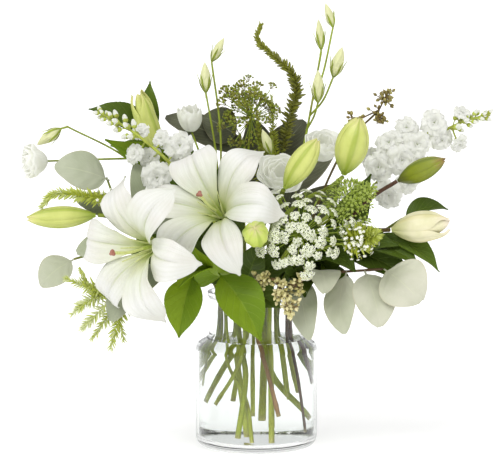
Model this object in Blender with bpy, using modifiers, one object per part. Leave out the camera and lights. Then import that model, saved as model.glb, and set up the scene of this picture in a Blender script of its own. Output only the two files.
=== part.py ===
"""A bouquet of white lilies, fillers and foliage standing in a clear glass jar vase filled with water.

Units are metres, +Z is up, and the origin is the middle of the vase's flat base.
Front is -Y: both open lilies face that way.
"""

import math

import bmesh
import bpy
from mathutils import Matrix, Vector

# ---------------------------------------------------------------- driving sizes
GAP = 0.0003

VASE_HEIGHT = 0.163
BODY_RADIUS = 0.064
NECK_RADIUS = 0.050
RIM_RADIUS = 0.0515
SHOULDER_TOP = 0.116
SHOULDER_BOTTOM = 0.107
HEEL_FILLET = 0.009
WALL = 0.003
BASE_THICKNESS = 0.007
WATER_LEVEL = 0.1115
LATHE_STEPS = 36

TEPAL_REACH = 0.075
FUNNEL_HEIGHT = 0.035
INNER_TEPAL_HALF_WIDTH = 0.0235
OUTER_TEPAL_HALF_WIDTH = 0.0190
TEPAL_THICKNESS = 0.0011
THROAT_RADIUS = 0.0046
STYLE_LENGTH = 0.058
BUD_GAP = 0.0016

LEAF_THICKNESS = 0.0007
TUBE_SIDES_RESOLUTION = 1
STALK_RIM_HEIGHT = 0.167


# ---------------------------------------------------------------- scene and materials
def clear_scene():
    for obj in list(bpy.data.objects):
        bpy.data.objects.remove(obj, do_unlink=True)


def new_collection(name):
    collection = bpy.data.collections.new(name)
    bpy.context.scene.collection.children.link(collection)
    return collection


clear_scene()
PARTS = new_collection("lilies_in_a_vase")
GUIDES = new_collection("cutters_and_operands")

COLOURS = {
    "clear_glass": ((0.93, 0.97, 0.96), 0.03),
    "water": ((0.90, 0.96, 0.96), 0.02),
    "lily_petal": ((0.93, 0.93, 0.88), 0.45),
    "lily_pistil": ((0.62, 0.70, 0.30), 0.45),
    "lily_stalk": ((0.30, 0.42, 0.12), 0.50),
    "lily_bud": ((0.72, 0.78, 0.42), 0.45),
    "lily_bud_dark": ((0.42, 0.50, 0.10), 0.45),
    "lisianthus_stalk": ((0.38, 0.48, 0.22), 0.55),
    "lisianthus_flower": ((0.92, 0.93, 0.89), 0.60),
    "stock_stalk": ((0.42, 0.55, 0.22), 0.55),
    "stock_floret": ((0.94, 0.94, 0.92), 0.65),
    "loosestrife": ((0.40, 0.50, 0.14), 0.60),
    "ammi_floret": ((0.90, 0.92, 0.84), 0.70),
    "ammi_green": ((0.42, 0.56, 0.16), 0.60),
    "eucalyptus_seed": ((0.72, 0.70, 0.42), 0.55),
    "eucalyptus_leaf": ((0.52, 0.58, 0.50), 0.60),
    "salal_leaf": ((0.20, 0.42, 0.05), 0.35),
}


def material(slot):
    mat = bpy.data.materials.get(slot)
    if mat is None:
        colour, roughness = COLOURS[slot]
        mat = bpy.data.materials.new(slot)
        mat.use_nodes = True
        shader = mat.node_tree.nodes["Principled BSDF"]
        shader.inputs["Base Color"].default_value = (*colour, 1.0)
        shader.inputs["Roughness"].default_value = roughness
        shader.inputs["Metallic"].default_value = 0.0
    return mat


def add_part(name, mesh, slot):
    """Links a mesh as a named part in its own material."""
    mesh.materials.clear()
    mesh.materials.append(material(slot))
    mesh.name = name
    obj = bpy.data.objects.new(name, mesh)
    PARTS.objects.link(obj)
    return obj


def add_operand(name, mesh):
    """Links a mesh that only cuts or joins other parts."""
    obj = bpy.data.objects.new(name, mesh)
    GUIDES.objects.link(obj)
    obj.hide_render = True
    obj.display_type = "WIRE"
    return obj


# ---------------------------------------------------------------- mesh helpers
def evaluated_mesh(obj):
    """Turns a helper object with its modifiers into a plain welded mesh, and removes the helper."""
    graph = bpy.context.evaluated_depsgraph_get()
    mesh = bpy.data.meshes.new_from_object(obj.evaluated_get(graph))
    mesh.transform(obj.matrix_world)
    work = bmesh.new()
    work.from_mesh(mesh)
    bmesh.ops.remove_doubles(work, verts=work.verts, dist=0.00001)
    bmesh.ops.recalc_face_normals(work, faces=work.faces)
    work.to_mesh(mesh)
    work.free()
    bpy.data.objects.remove(obj, do_unlink=True)
    return mesh


def joined(meshes):
    """One mesh that holds several closed shapes."""
    work = bmesh.new()
    for mesh in meshes:
        work.from_mesh(mesh)
    result = bpy.data.meshes.new("joined")
    work.to_mesh(result)
    work.free()
    return result


def fused_part(name, first, others, slot):
    """A part whose body is the union of overlapping closed shapes."""
    obj = add_part(name, first, slot)
    for index, other in enumerate(others):
        union = obj.modifiers.new(f"join_{index}", "BOOLEAN")
        union.operation = "UNION"
        union.solver = "EXACT"
        union.object = add_operand(f"{name}_operand_{index}", other)
    return obj


def smooth_route(points, per_span=2):
    """Points along a Catmull-Rom curve through the given ones."""
    knots = [Vector(p) for p in points]
    if len(knots) == 2:
        return knots
    ends = [2 * knots[0] - knots[1], *knots, 2 * knots[-1] - knots[-2]]
    route = []
    for i in range(1, len(ends) - 2):
        a, b, c, d = ends[i - 1 : i + 3]
        for step in range(per_span):
            t = step / per_span
            route.append(
                0.5 * (2 * b + (c - a) * t + (2 * a - 5 * b + 4 * c - d) * t * t
                       + (3 * b - a - 3 * c + d) * t ** 3)
            )
    route.append(knots[-1])
    return route


def tube_mesh(points, radius, end_radius=None, per_span=2):
    """A capped tube along a smooth route, thinning to end_radius."""
    route = smooth_route(points, per_span)
    end_radius = radius if end_radius is None else end_radius
    curve = bpy.data.curves.new("tube", "CURVE")
    curve.dimensions = "3D"
    curve.bevel_depth = radius
    curve.bevel_resolution = TUBE_SIDES_RESOLUTION
    curve.use_fill_caps = True
    spline = curve.splines.new("POLY")
    spline.points.add(len(route) - 1)
    for index, (point, position) in enumerate(zip(spline.points, route)):
        point.co = (*position, 1.0)
        point.radius = 1 + (end_radius / radius - 1) * index / (len(route) - 1)
    obj = bpy.data.objects.new("tube", curve)
    bpy.context.scene.collection.objects.link(obj)
    return evaluated_mesh(obj)


def turned_mesh(profile, steps):
    """A solid turned about Z; the profile runs from the inside or top axis down the outer side."""
    mesh = bpy.data.meshes.new("profile")
    edges = [(i, i + 1) for i in range(len(profile) - 1)]
    mesh.from_pydata([(r, 0.0, z) for r, z in profile], edges, [])
    obj = bpy.data.objects.new("profile", mesh)
    bpy.context.scene.collection.objects.link(obj)
    screw = obj.modifiers.new("turn", "SCREW")
    screw.axis = "Z"
    screw.angle = math.tau
    screw.steps = steps
    screw.render_steps = steps
    screw.use_merge_vertices = True
    screw.merge_threshold = 0.00001
    return evaluated_mesh(obj)


def rounded(corners, arc_points=4):
    """A profile through (radius, height, fillet) corners, each fillet a short arc."""
    outline = []
    last = len(corners) - 1
    for i, (r, z, fillet) in enumerate(corners):
        here = Vector((r, z))
        if fillet == 0 or i in (0, last):
            outline.append((r, z))
            continue
        before = (Vector(corners[i - 1][:2]) - here).normalized()
        after = (Vector(corners[i + 1][:2]) - here).normalized()
        half = before.angle(after) / 2
        reach = fillet / math.tan(half)
        centre = here + (before + after).normalized() * fillet / math.sin(half)
        start = here + before * reach - centre
        end = here + after * reach - centre
        turn = start.angle_signed(end)
        for k in range(arc_points + 1):
            offset = start.copy()
            offset.rotate(Matrix.Rotation(-turn * k / arc_points, 2))
            outline.append(tuple(centre + offset))
    return outline


def frame_along(direction, up_hint=(0, 0, 1)):
    """Rotation that carries +Z onto direction and keeps +X near the hint."""
    z = Vector(direction).normalized()
    hint = Vector(up_hint)
    if abs(z.dot(hint.normalized())) > 0.98:
        hint = Vector((1, 0, 0))
    x = (hint - z * hint.dot(z)).normalized()
    return Matrix((x, z.cross(x), z)).transposed().to_4x4()


def spindle_mesh(base, tip, radius, fullness=0.45, steps=8, rings=6, blunt=0.18):
    """A bud: a turned form from base to tip, widest at the given share of its length."""
    base = Vector(base)
    length = (Vector(tip) - base).length
    profile = [(0.0, length)]
    for i in range(rings + 1):
        t = 1 - i / rings
        rise = math.sin(math.pi / 2 * min(t / fullness, 1.0)) ** 0.8
        fall = math.cos(math.pi / 2 * max((t - fullness) / (1 - fullness), 0.0)) ** 0.75
        profile.append((radius * max(rise * fall, blunt * (1 - 0.4 * t)), length * t))
    profile.append((0.0, 0.0))
    mesh = turned_mesh(profile, steps)
    mesh.transform(Matrix.Translation(base) @ frame_along(Vector(tip) - base))
    return mesh


def ball_mesh(centre, radius, squash=(1, 1, 1), subdivisions=1):
    """A coarse rounded lump."""
    work = bmesh.new()
    bmesh.ops.create_icosphere(work, subdivisions=subdivisions, radius=radius)
    bmesh.ops.scale(work, vec=squash, verts=work.verts)
    bmesh.ops.translate(work, vec=centre, verts=work.verts)
    mesh = bpy.data.meshes.new("lump")
    work.to_mesh(mesh)
    work.free()
    return mesh


def blade_mesh(place, across=2, along=5, thickness=LEAF_THICKNESS):
    """A thin closed blade; place(s, t) gives the point at s along it and t from -1 to 1 across it."""
    work = bmesh.new()
    bmesh.ops.create_grid(work, x_segments=along, y_segments=across, size=1.0)
    for vert in work.verts:
        vert.co = place((vert.co.x + 1) / 2, vert.co.y)
    mesh = bpy.data.meshes.new("blade")
    work.to_mesh(mesh)
    work.free()
    obj = bpy.data.objects.new("blade", mesh)
    bpy.context.scene.collection.objects.link(obj)
    shell = obj.modifiers.new("thickness", "SOLIDIFY")
    shell.thickness = thickness
    shell.offset = 0.0
    return evaluated_mesh(obj)


# ---------------------------------------------------------------- vase and water
def wall_outline(inset, top):
    """The jar's outer profile pulled in by inset, from the rim down to the base corner."""
    return [
        (NECK_RADIUS - inset, top, 0),
        (NECK_RADIUS - inset, SHOULDER_TOP - 0.4 * inset, 0.008),
        (BODY_RADIUS - inset, SHOULDER_BOTTOM - 0.6 * inset, 0.008),
    ]


def make_vase():
    outer = [
        (RIM_RADIUS - 0.0032, VASE_HEIGHT, 0),
        (RIM_RADIUS, VASE_HEIGHT, 0.0014),
        (RIM_RADIUS, VASE_HEIGHT - 0.0045, 0.0014),
        (NECK_RADIUS, VASE_HEIGHT - 0.0065, 0.001),
        *wall_outline(0.0, VASE_HEIGHT)[1:],
        (BODY_RADIUS, 0.0, HEEL_FILLET),
        (0.0, 0.0, 0),
    ]
    inner = [
        *wall_outline(WALL, VASE_HEIGHT - 0.0008),
        (BODY_RADIUS - WALL, BASE_THICKNESS, HEEL_FILLET - 0.002),
        (0.0, BASE_THICKNESS, 0),
    ]
    profile = rounded(inner, arc_points=2)[::-1] + rounded(outer, arc_points=3)
    add_part("glass_vase", turned_mesh(profile, LATHE_STEPS), "clear_glass")


def water_mesh():
    inset = WALL + 0.0005
    outline = [
        (0.0, WATER_LEVEL, 0),
        (NECK_RADIUS - inset + 0.002, WATER_LEVEL, 0),
        (BODY_RADIUS - inset - 0.0005, SHOULDER_BOTTOM - 0.6 * inset - 0.0008, 0.006),
        (BODY_RADIUS - inset, BASE_THICKNESS + 0.0005, HEEL_FILLET - 0.002),
        (0.0, BASE_THICKNESS + 0.0005, 0),
    ]
    return turned_mesh(rounded(outline, arc_points=3), LATHE_STEPS)


# ---------------------------------------------------------------- stalks
# Each main stalk: radius at the cut end, radius at the top, and its route from the cut end in the
# water, through the neck (height 0.12) and past the rim (height 0.167), up to its flower or leaves.
STALKS = {
    "lily_stalk_left": (0.0027, 0.0024, [
        (-0.0175, -0.036, 0.014), (-0.010, -0.034, 0.080),
        (-0.018, -0.030, 0.120), (-0.025, -0.033, 0.167),
        (-0.046, -0.056, 0.192), (-0.075, -0.090, 0.208), (-0.0985, -0.1208, 0.2229)]),
    "lily_stalk_top": (0.0027, 0.0024, [
        (-0.047, -0.016, 0.048), (-0.026, -0.017, 0.090),
        (-0.010, -0.0165, 0.120), (-0.013, -0.018, 0.167),
        (-0.013, -0.038, 0.210), (-0.020, -0.064, 0.233), (-0.0341, -0.0885, 0.2500)]),
    "lily_stalk_centre": (0.0029, 0.0024, [
        (0.049, -0.013, 0.030), (0.0145, -0.0135, 0.075),
        (0.008, -0.0135, 0.120), (0.010, -0.016, 0.167),
        (0.014, -0.040, 0.225), (0.022, -0.080, 0.262), (0.0268, -0.0990, 0.2785)]),
    "lily_stalk_right": (0.0024, 0.0021, [
        (0.0505, -0.007, 0.066), (0.041, -0.007, 0.098),
        (0.035, -0.007, 0.120), (0.040, -0.008, 0.167),
        (0.075, -0.022, 0.215), (0.115, -0.040, 0.262), (0.1435, -0.0498, 0.2828)]),
    "lisianthus_sprig_right": (0.0019, 0.0010, [
        (0.030, 0.018, 0.054), (0.021, 0.0165, 0.120), (0.024, 0.018, 0.167),
        (0.040, 0.022, 0.260), (0.055, 0.024, 0.340), (0.068, 0.030, 0.412)]),
    "lisianthus_sprig_left": (0.0017, 0.0009, [
        (-0.045, 0.027, 0.046), (-0.033, 0.0205, 0.085),
        (-0.022, 0.0135, 0.120), (-0.026, 0.014, 0.167),
        (-0.036, 0.014, 0.240), (-0.043, 0.014, 0.310), (-0.0525, 0.0105, 0.368)]),
    "lisianthus_sprig_far_left": (0.0016, 0.0009, [
        (-0.0545, 0.016, 0.060), (-0.044, 0.0105, 0.092),
        (-0.033, 0.0055, 0.120), (-0.040, 0.008, 0.167),
        (-0.078, 0.010, 0.245), (-0.135, 0.000, 0.302), (-0.1975, -0.009, 0.3365)]),
    "lisianthus_sprig_centre": (0.0018, 0.0012, [
        (-0.003, -0.012, 0.034), (-0.003, -0.003, 0.120), (-0.001, -0.001, 0.167),
        (0.006, -0.002, 0.220), (0.014, -0.018, 0.256), (0.0235, -0.0415, 0.280)]),
    "stock_stem_left": (0.0024, 0.0016, [
        (-0.007, 0.006, 0.010), (-0.018, 0.0010, 0.120), (-0.022, 0.000, 0.167),
        (-0.034, -0.004, 0.215), (-0.050, -0.010, 0.246), (-0.068, -0.018, 0.270)]),
    "stock_stem_right": (0.0028, 0.0018, [
        (0.004, 0.016, 0.026), (0.007, 0.0060, 0.120), (0.012, 0.007, 0.167),
        (0.045, 0.006, 0.215), (0.085, 0.002, 0.248), (0.118, 0.000, 0.268)]),
    "loosestrife_top": (0.0020, 0.0011, [
        (0.010, 0.034, 0.016), (0.010, 0.0270, 0.120), (0.013, 0.028, 0.167),
        (0.020, 0.036, 0.240), (0.028, 0.032, 0.310)]),
    "loosestrife_left": (0.0015, 0.0011, [
        (-0.053, -0.0215, 0.066), (-0.045, -0.0170, 0.096),
        (-0.036, -0.0130, 0.120), (-0.040, -0.013, 0.167),
        (-0.066, -0.024, 0.215), (-0.100, -0.036, 0.246), (-0.134, -0.054, 0.260)]),
    "loosestrife_right": (0.0015, 0.0012, [
        (0.027, -0.024, 0.056), (0.0235, -0.023, 0.085),
        (0.020, -0.0205, 0.120), (0.023, -0.025, 0.167),
        (0.040, -0.058, 0.200), (0.068, -0.092, 0.219), (0.096, -0.112, 0.228)]),
    "loosestrife_low_left": (0.0019, 0.0009, [
        (-0.004, -0.027, 0.008), (-0.009, -0.0275, 0.052), (-0.025, -0.027, 0.088),
        (-0.030, -0.0235, 0.120), (-0.036, -0.022, 0.167),
        (-0.070, -0.040, 0.188), (-0.108, -0.056, 0.184), (-0.142, -0.066, 0.172)]),
    "ammi_stem_white": (0.0027, 0.0016, [
        (0.014, -0.036, 0.009), (0.013, -0.0310, 0.120), (0.015, -0.034, 0.167),
        (0.024, -0.060, 0.200), (0.036, -0.088, 0.222), (0.0435, -0.103, 0.234)]),
    "ammi_umbel_green": (0.0016, 0.0012, [
        (0.026, -0.003, 0.050), (0.020, -0.0010, 0.120), (0.023, -0.002, 0.167),
        (0.048, -0.020, 0.215), (0.078, -0.052, 0.246), (0.100, -0.078, 0.262)]),
    "ammi_umbel_back": (0.0017, 0.0011, [
        (-0.0155, 0.031, 0.044), (-0.009, 0.0210, 0.120), (-0.010, 0.022, 0.167),
        (-0.013, 0.028, 0.240), (-0.009, 0.030, 0.300), (-0.006, 0.030, 0.345)]),
    "seeded_eucalyptus_front": (0.0022, 0.0016, [
        (0.0215, -0.0445, 0.038), (0.010, -0.043, 0.086),
        (0.001, -0.0385, 0.120), (0.004, -0.039, 0.167),
        (0.012, -0.062, 0.182), (0.020, -0.090, 0.186), (0.026, -0.108, 0.184)]),
    "seeded_eucalyptus_right": (0.0019, 0.0010, [
        (0.0505, 0.024, 0.044), (0.043, 0.020, 0.084),
        (0.034, 0.0160, 0.120), (0.038, 0.017, 0.167),
        (0.064, 0.020, 0.250), (0.094, 0.014, 0.315), (0.128, 0.010, 0.352)]),
    "eucalyptus_branch_left": (0.0026, 0.0012, [
        (-0.0565, -0.006, 0.074), (-0.0465, -0.004, 0.100),
        (-0.040, -0.0030, 0.120), (-0.042, -0.004, 0.167),
        (-0.080, -0.016, 0.206), (-0.130, -0.034, 0.216), (-0.188, -0.046, 0.202)]),
    "eucalyptus_branch_right": (0.0017, 0.0013, [
        (0.0475, -0.027, 0.018), (0.039, -0.026, 0.072),
        (0.031, -0.0245, 0.120), (0.036, -0.023, 0.167),
        (0.060, -0.046, 0.187), (0.092, -0.068, 0.192), (0.128, -0.080, 0.196)]),
    "eucalyptus_branch_back": (0.0022, 0.0012, [
        (0.036, 0.042, 0.056), (0.023, 0.0320, 0.120), (0.026, 0.036, 0.167),
        (0.024, 0.058, 0.220), (0.006, 0.062, 0.280), (-0.020, 0.054, 0.322)]),
    "salal_branch_front": (0.0020, 0.0014, [
        (-0.041, -0.039, 0.049), (-0.020, -0.042, 0.085),
        (-0.012, -0.0405, 0.120), (-0.020, -0.039, 0.167),
        (-0.034, -0.062, 0.186), (-0.048, -0.086, 0.194), (-0.060, -0.100, 0.199)]),
    "salal_branch_right": (0.0022, 0.0013, [
        (0.0545, 0.009, 0.058), (0.046, 0.0060, 0.092),
        (0.036, 0.0040, 0.120), (0.041, 0.004, 0.167),
        (0.070, -0.012, 0.198), (0.104, -0.040, 0.214), (0.150, -0.046, 0.244)]),
    "salal_branch_back": (0.0023, 0.0013, [
        (-0.040, 0.038, 0.058), (-0.0315, 0.0335, 0.090),
        (-0.023, 0.0290, 0.120), (-0.027, 0.031, 0.167),
        (-0.048, 0.048, 0.220), (-0.078, 0.050, 0.280), (-0.112, 0.044, 0.326)]),
}


def stalk_mesh(name):
    radius, end_radius, route = STALKS[name]
    return tube_mesh(route, radius, end_radius)


def make_water():
    """The water, with a clear channel round each stalk."""
    water = add_part("vase_water", water_mesh(), "water")
    for name, (radius, _, route) in STALKS.items():
        below = [point for point in route[1:] if point[2] <= STALK_RIM_HEIGHT]
        foot = Vector(route[0])
        start = foot + (foot - Vector(route[1])).normalized() * GAP
        channel = tube_mesh([start, *below], radius + GAP)
        cut = water.modifiers.new(f"channel_{name}", "BOOLEAN")
        cut.operation = "DIFFERENCE"
        cut.solver = "EXACT"
        cut.object = add_operand(f"channel_{name}", channel)


# ---------------------------------------------------------------- lily blooms
# Centre of the throat, the way the bloom faces, the turn of its first tepal in degrees.
BLOOMS = {
    "lily_left": ((-0.102, -0.124, 0.224), (-0.69, -0.72, -0.02), 83),
    "lily_top": ((-0.035, -0.090, 0.251), (-0.38, -0.80, 0.47), 31),
}


def tepal_place(bloom, number):
    """A function that puts one tepal's blade: even numbers are the broad inner whorl."""
    centre, facing, first = BLOOMS[bloom]
    inner = number % 2 == 0
    half_width = INNER_TEPAL_HALF_WIDTH if inner else OUTER_TEPAL_HALF_WIDTH
    rise = 0.0030 if inner else 0.0
    cup = 0.12 if inner else -0.12
    frame = Matrix.Translation(centre) @ frame_along(facing)
    frame = frame @ Matrix.Rotation(math.radians(first + 60 * number), 4, "Z")

    def place(s, t):
        outline = math.sin(math.pi * (0.05 + 0.93 * s)) ** 1.5
        across = t * half_width * max(outline, 0.08)
        out = THROAT_RADIUS + TEPAL_REACH * s
        level = min((math.hypot(out, across) - THROAT_RADIUS) / TEPAL_REACH, 1.0)
        height = FUNNEL_HEIGHT * math.sin(0.78 * math.pi * level ** 0.85) + rise * min(1.0, 12 * s)
        return frame @ Vector((out, across, height + cup * across * across / half_width))

    return place


def make_bloom(bloom):
    for number in range(6):
        blade = blade_mesh(tepal_place(bloom, number), across=2, along=6, thickness=TEPAL_THICKNESS)
        add_part(f"{bloom}_petal_{number + 1}", blade, "lily_petal")
    centre, facing, _ = BLOOMS[bloom]
    axis = Vector(facing).normalized()
    start = Vector(centre) - axis * 0.0012
    ovary_top = start + axis * 0.016
    tip = start + axis * STYLE_LENGTH
    style = tube_mesh([start, ovary_top, tip], 0.0019, 0.0012, per_span=2)
    stigma = ball_mesh(tip, 0.0034, (1, 1, 0.9))
    fused_part(f"{bloom}_pistil", style, [stigma], "lily_pistil")


# ---------------------------------------------------------------- buds
# base, tip, widest radius
LILY_BUDS = {
    "lily_bud_far_left": ((-0.163, -0.060, 0.249), (-0.234, -0.070, 0.247), 0.0105, "lily_bud"),
    "lily_bud_upper_left": ((-0.101, 0.020, 0.301), (-0.125, 0.010, 0.370), 0.0125, "lily_bud"),
    "lily_bud_small": ((0.000, -0.128, 0.230), (-0.002, -0.166, 0.248), 0.0120, "lily_bud"),
    "lily_bud_centre": ((0.027, -0.100, 0.279), (0.061, -0.102, 0.330), 0.0125, "lily_bud"),
    "lily_bud_tall": ((0.088, -0.070, 0.290), (0.104, -0.080, 0.350), 0.0165, "lily_bud"),
    "lily_bud_right": ((0.144, -0.050, 0.283), (0.190, -0.080, 0.308), 0.0105, "lily_bud_dark"),
    "lily_bud_far_right": ((0.136, -0.070, 0.235), (0.196, -0.082, 0.244), 0.0155, "lily_bud"),
}
# The parent stalk and the side stalk's route to each of the other buds.
BUD_BRANCHES = {
    "lily_stalk_left": [
        [(-0.070, -0.084, 0.2050), (-0.105, -0.078, 0.226), (-0.135, -0.062, 0.246),
         (-0.1620, -0.0600, 0.2490)]],
    "lily_stalk_top": [
        [(-0.013, -0.020, 0.178), (-0.020, 0.022, 0.228), (-0.062, 0.027, 0.266),
         (-0.1006, 0.0202, 0.3002)]],
    "lily_stalk_centre": [
        [(0.0155, -0.048, 0.235), (0.045, -0.052, 0.262), (0.072, -0.060, 0.276),
         (0.0878, -0.0699, 0.2892)],
        [(0.0135, -0.038, 0.222), (0.010, -0.072, 0.222), (0.003, -0.104, 0.222),
         (0.0001, -0.1273, 0.2297)]],
    "lily_stalk_right": [
        [(0.085, -0.026, 0.228), (0.108, -0.048, 0.232), (0.1352, -0.0699, 0.2349)]],
}


def make_lily_stalks():
    for name, branches in BUD_BRANCHES.items():
        side = [tube_mesh(route, 0.0021, 0.0019) for route in branches]
        fused_part(name, stalk_mesh(name), side, "lily_stalk")


def make_lily_buds():
    for name, (base, tip, radius, slot) in LILY_BUDS.items():
        clear = (Vector(tip) - Vector(base)).normalized() * BUD_GAP
        add_part(name, spindle_mesh(Vector(base) + clear, tip, radius, fullness=0.42), slot)


# ---------------------------------------------------------------- lisianthus
# Side shoots: the route up to the bud's base, the bud's tip, the bud's radius.
LISIANTHUS_SHOOTS = {
    "lisianthus_sprig_right": [
        ([(0.0525, 0.0236, 0.330), (0.060, 0.012, 0.345), (0.064, 0.002, 0.360)],
         (0.064, 0.000, 0.394), 0.0062),
        ([(0.056, 0.0243, 0.345), (0.070, 0.018, 0.362), (0.080, 0.010, 0.386)],
         (0.089, 0.000, 0.418), 0.0066),
        ([(0.0585, 0.0252, 0.360), (0.070, 0.026, 0.390), (0.080, 0.020, 0.438)],
         (0.072, 0.018, 0.463), 0.0044),
        ([(0.067, 0.0296, 0.408), (0.068, 0.030, 0.414)], (0.065, 0.032, 0.446), 0.0044),
    ],
    "lisianthus_sprig_left": [
        ([(-0.038, 0.014, 0.262), (-0.038, 0.022, 0.330), (-0.047, 0.022, 0.402)],
         (-0.034, 0.020, 0.427), 0.0046),
        ([(-0.0520, 0.0105, 0.364), (-0.0530, 0.0100, 0.370)], (-0.054, 0.010, 0.402), 0.0056),
        ([(-0.037, 0.014, 0.250), (-0.054, 0.026, 0.290), (-0.068, 0.031, 0.327)], None, 0),
    ],
    "lisianthus_sprig_far_left": [
        ([(-0.1960, -0.0087, 0.3358), (-0.203, -0.010, 0.334)], (-0.228, -0.010, 0.317), 0.0060),
        ([(-0.135, 0.000, 0.302), (-0.165, -0.010, 0.302), (-0.2160, -0.0198, 0.3010)], None, 0),
    ],
    "lisianthus_sprig_centre": [
        ([(0.008, -0.006, 0.232), (0.034, 0.000, 0.276), (0.0655, -0.022, 0.303)], None, 0),
        ([(0.007, -0.003, 0.226), (0.012, -0.006, 0.280), (0.015, -0.018, 0.308)],
         (0.006, -0.022, 0.334), 0.0050),
    ],
}
# base of the cup, the way it opens, radius, depth
LISIANTHUS_BLOOMS = {
    "lisianthus_bloom_far_left": ((-0.2168, -0.0201, 0.3010), (-0.80, -0.35, -0.02), 0.0155, 0.027),
    "lisianthus_bloom_left": ((-0.0684, 0.0310, 0.3285), (-0.10, -0.40, 0.90), 0.0125, 0.028),
    "lisianthus_bloom_centre": ((0.0242, -0.0428, 0.2812), (0.05, -0.80, 0.65), 0.0200, 0.024),
    "lisianthus_bloom_right": ((0.0663, -0.0230, 0.3042), (0.10, -0.50, 0.80), 0.0185, 0.026),
}


def make_lisianthus():
    for name, shoots in LISIANTHUS_SHOOTS.items():
        pieces = []
        for route, bud_tip, bud_radius in shoots:
            pieces.append(tube_mesh(route, 0.0011, 0.0010, per_span=2))
            if bud_tip is not None:
                pieces.append(spindle_mesh(route[-1], bud_tip, bud_radius, fullness=0.40))
        fused_part(name, stalk_mesh(name), pieces, "lisianthus_stalk")
    for name, (base, facing, radius, depth) in LISIANTHUS_BLOOMS.items():
        profile = [
            (0.0, depth * 0.62), (radius * 0.45, depth * 0.72), (radius * 0.80, depth * 0.92),
            (radius, depth), (radius * 0.98, depth * 0.84), (radius * 0.80, depth * 0.50),
            (radius * 0.52, depth * 0.20), (radius * 0.20, 0.0), (0.0, 0.0)]
        cup = turned_mesh(profile, 12)
        cup.transform(Matrix.Translation(base) @ frame_along(facing))
        add_part(name, cup, "lisianthus_flower")


# ---------------------------------------------------------------- stock
# Florets as lumps: centre and radius.
STOCK_FLORETS = {
    "stock_florets_left": [
        ((-0.082, -0.026, 0.284), 0.017), ((-0.101, -0.030, 0.286), 0.018),
        ((-0.074, -0.028, 0.302), 0.016), ((-0.090, -0.044, 0.303), 0.014),
        ((-0.108, -0.036, 0.312), 0.015), ((-0.123, -0.038, 0.322), 0.013),
        ((-0.134, -0.039, 0.331), 0.011), ((-0.144, -0.040, 0.341), 0.010)],
    "stock_florets_right": [
        ((0.135, 0.004, 0.280), 0.020), ((0.120, 0.012, 0.296), 0.018),
        ((0.150, 0.004, 0.300), 0.021), ((0.128, 0.014, 0.318), 0.018),
        ((0.170, 0.002, 0.310), 0.019), ((0.152, 0.006, 0.328), 0.018),
        ((0.182, 0.000, 0.328), 0.017), ((0.199, 0.000, 0.338), 0.0125),
        ((0.214, 0.000, 0.345), 0.0110), ((0.228, 0.000, 0.349), 0.0100),
        ((0.240, 0.000, 0.352), 0.0090)],
}


def make_stock():
    for side in ("left", "right"):
        add_part(f"stock_stem_{side}", stalk_mesh(f"stock_stem_{side}"), "stock_stalk")
        lumps = [ball_mesh(centre, radius) for centre, radius in STOCK_FLORETS[f"stock_florets_{side}"]]
        fused_part(f"stock_florets_{side}", lumps[0], lumps[1:], "stock_floret")


# ---------------------------------------------------------------- loosestrife
# Spike centre lines, base to tip, and their radii at the base.
LOOSESTRIFE_SPIKES = {
    "loosestrife_top": ([
        (0.0275, 0.0325, 0.306), (0.035, 0.031, 0.343), (0.0425, 0.030, 0.370),
        (0.036, 0.030, 0.391), (0.016, 0.030, 0.409), (0.0015, 0.030, 0.424),
        (0.0045, 0.030, 0.440)], 0.0066),
    "loosestrife_left": ([
        (-0.132, -0.053, 0.2596), (-0.170, -0.064, 0.268), (-0.204, -0.070, 0.272),
        (-0.219, -0.070, 0.259)], 0.0060),
    "loosestrife_right": ([
        (0.094, -0.1112, 0.2276), (0.112, -0.120, 0.232), (0.132, -0.132, 0.240)], 0.0160),
    "loosestrife_low_left": ([
        (-0.140, -0.0655, 0.1728), (-0.166, -0.074, 0.172), (-0.180, -0.080, 0.196)], 0.0100),
}


def make_loosestrife():
    for name, (route, radius) in LOOSESTRIFE_SPIKES.items():
        spike = tube_mesh(route, radius, 0.35 * radius)
        fused_part(name, stalk_mesh(name), [spike], "loosestrife")


# ---------------------------------------------------------------- ammi umbels
def umbel_mesh(centre, facing, radius, depth):
    """A shallow dome of small florets on a cone of rays."""
    profile = [
        (0.0, depth), (radius * 0.45, depth * 0.93), (radius * 0.80, depth * 0.72), (radius, depth * 0.45),
        (radius * 0.94, depth * 0.20), (radius * 0.35, 0.0), (0.0, -0.002)]
    dome = turned_mesh(profile, 12)
    dome.transform(Matrix.Translation(centre) @ frame_along(facing))
    return dome


def make_ammi():
    add_part("ammi_stem_white", stalk_mesh("ammi_stem_white"), "ammi_green")
    head = umbel_mesh((0.0450, -0.1070, 0.2370), (0.25, -0.80, 0.55), 0.040, 0.020)
    add_part("ammi_umbel_white", head, "ammi_floret")
    green = umbel_mesh((0.100, -0.078, 0.262), (0.30, -0.60, 0.75), 0.024, 0.017)
    fused_part("ammi_umbel_green", stalk_mesh("ammi_umbel_green"), [green], "ammi_green")
    back = umbel_mesh((-0.006, 0.030, 0.343), (0.0, -0.20, 0.98), 0.026, 0.022)
    fused_part("ammi_umbel_back", stalk_mesh("ammi_umbel_back"), [back], "ammi_green")


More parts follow.
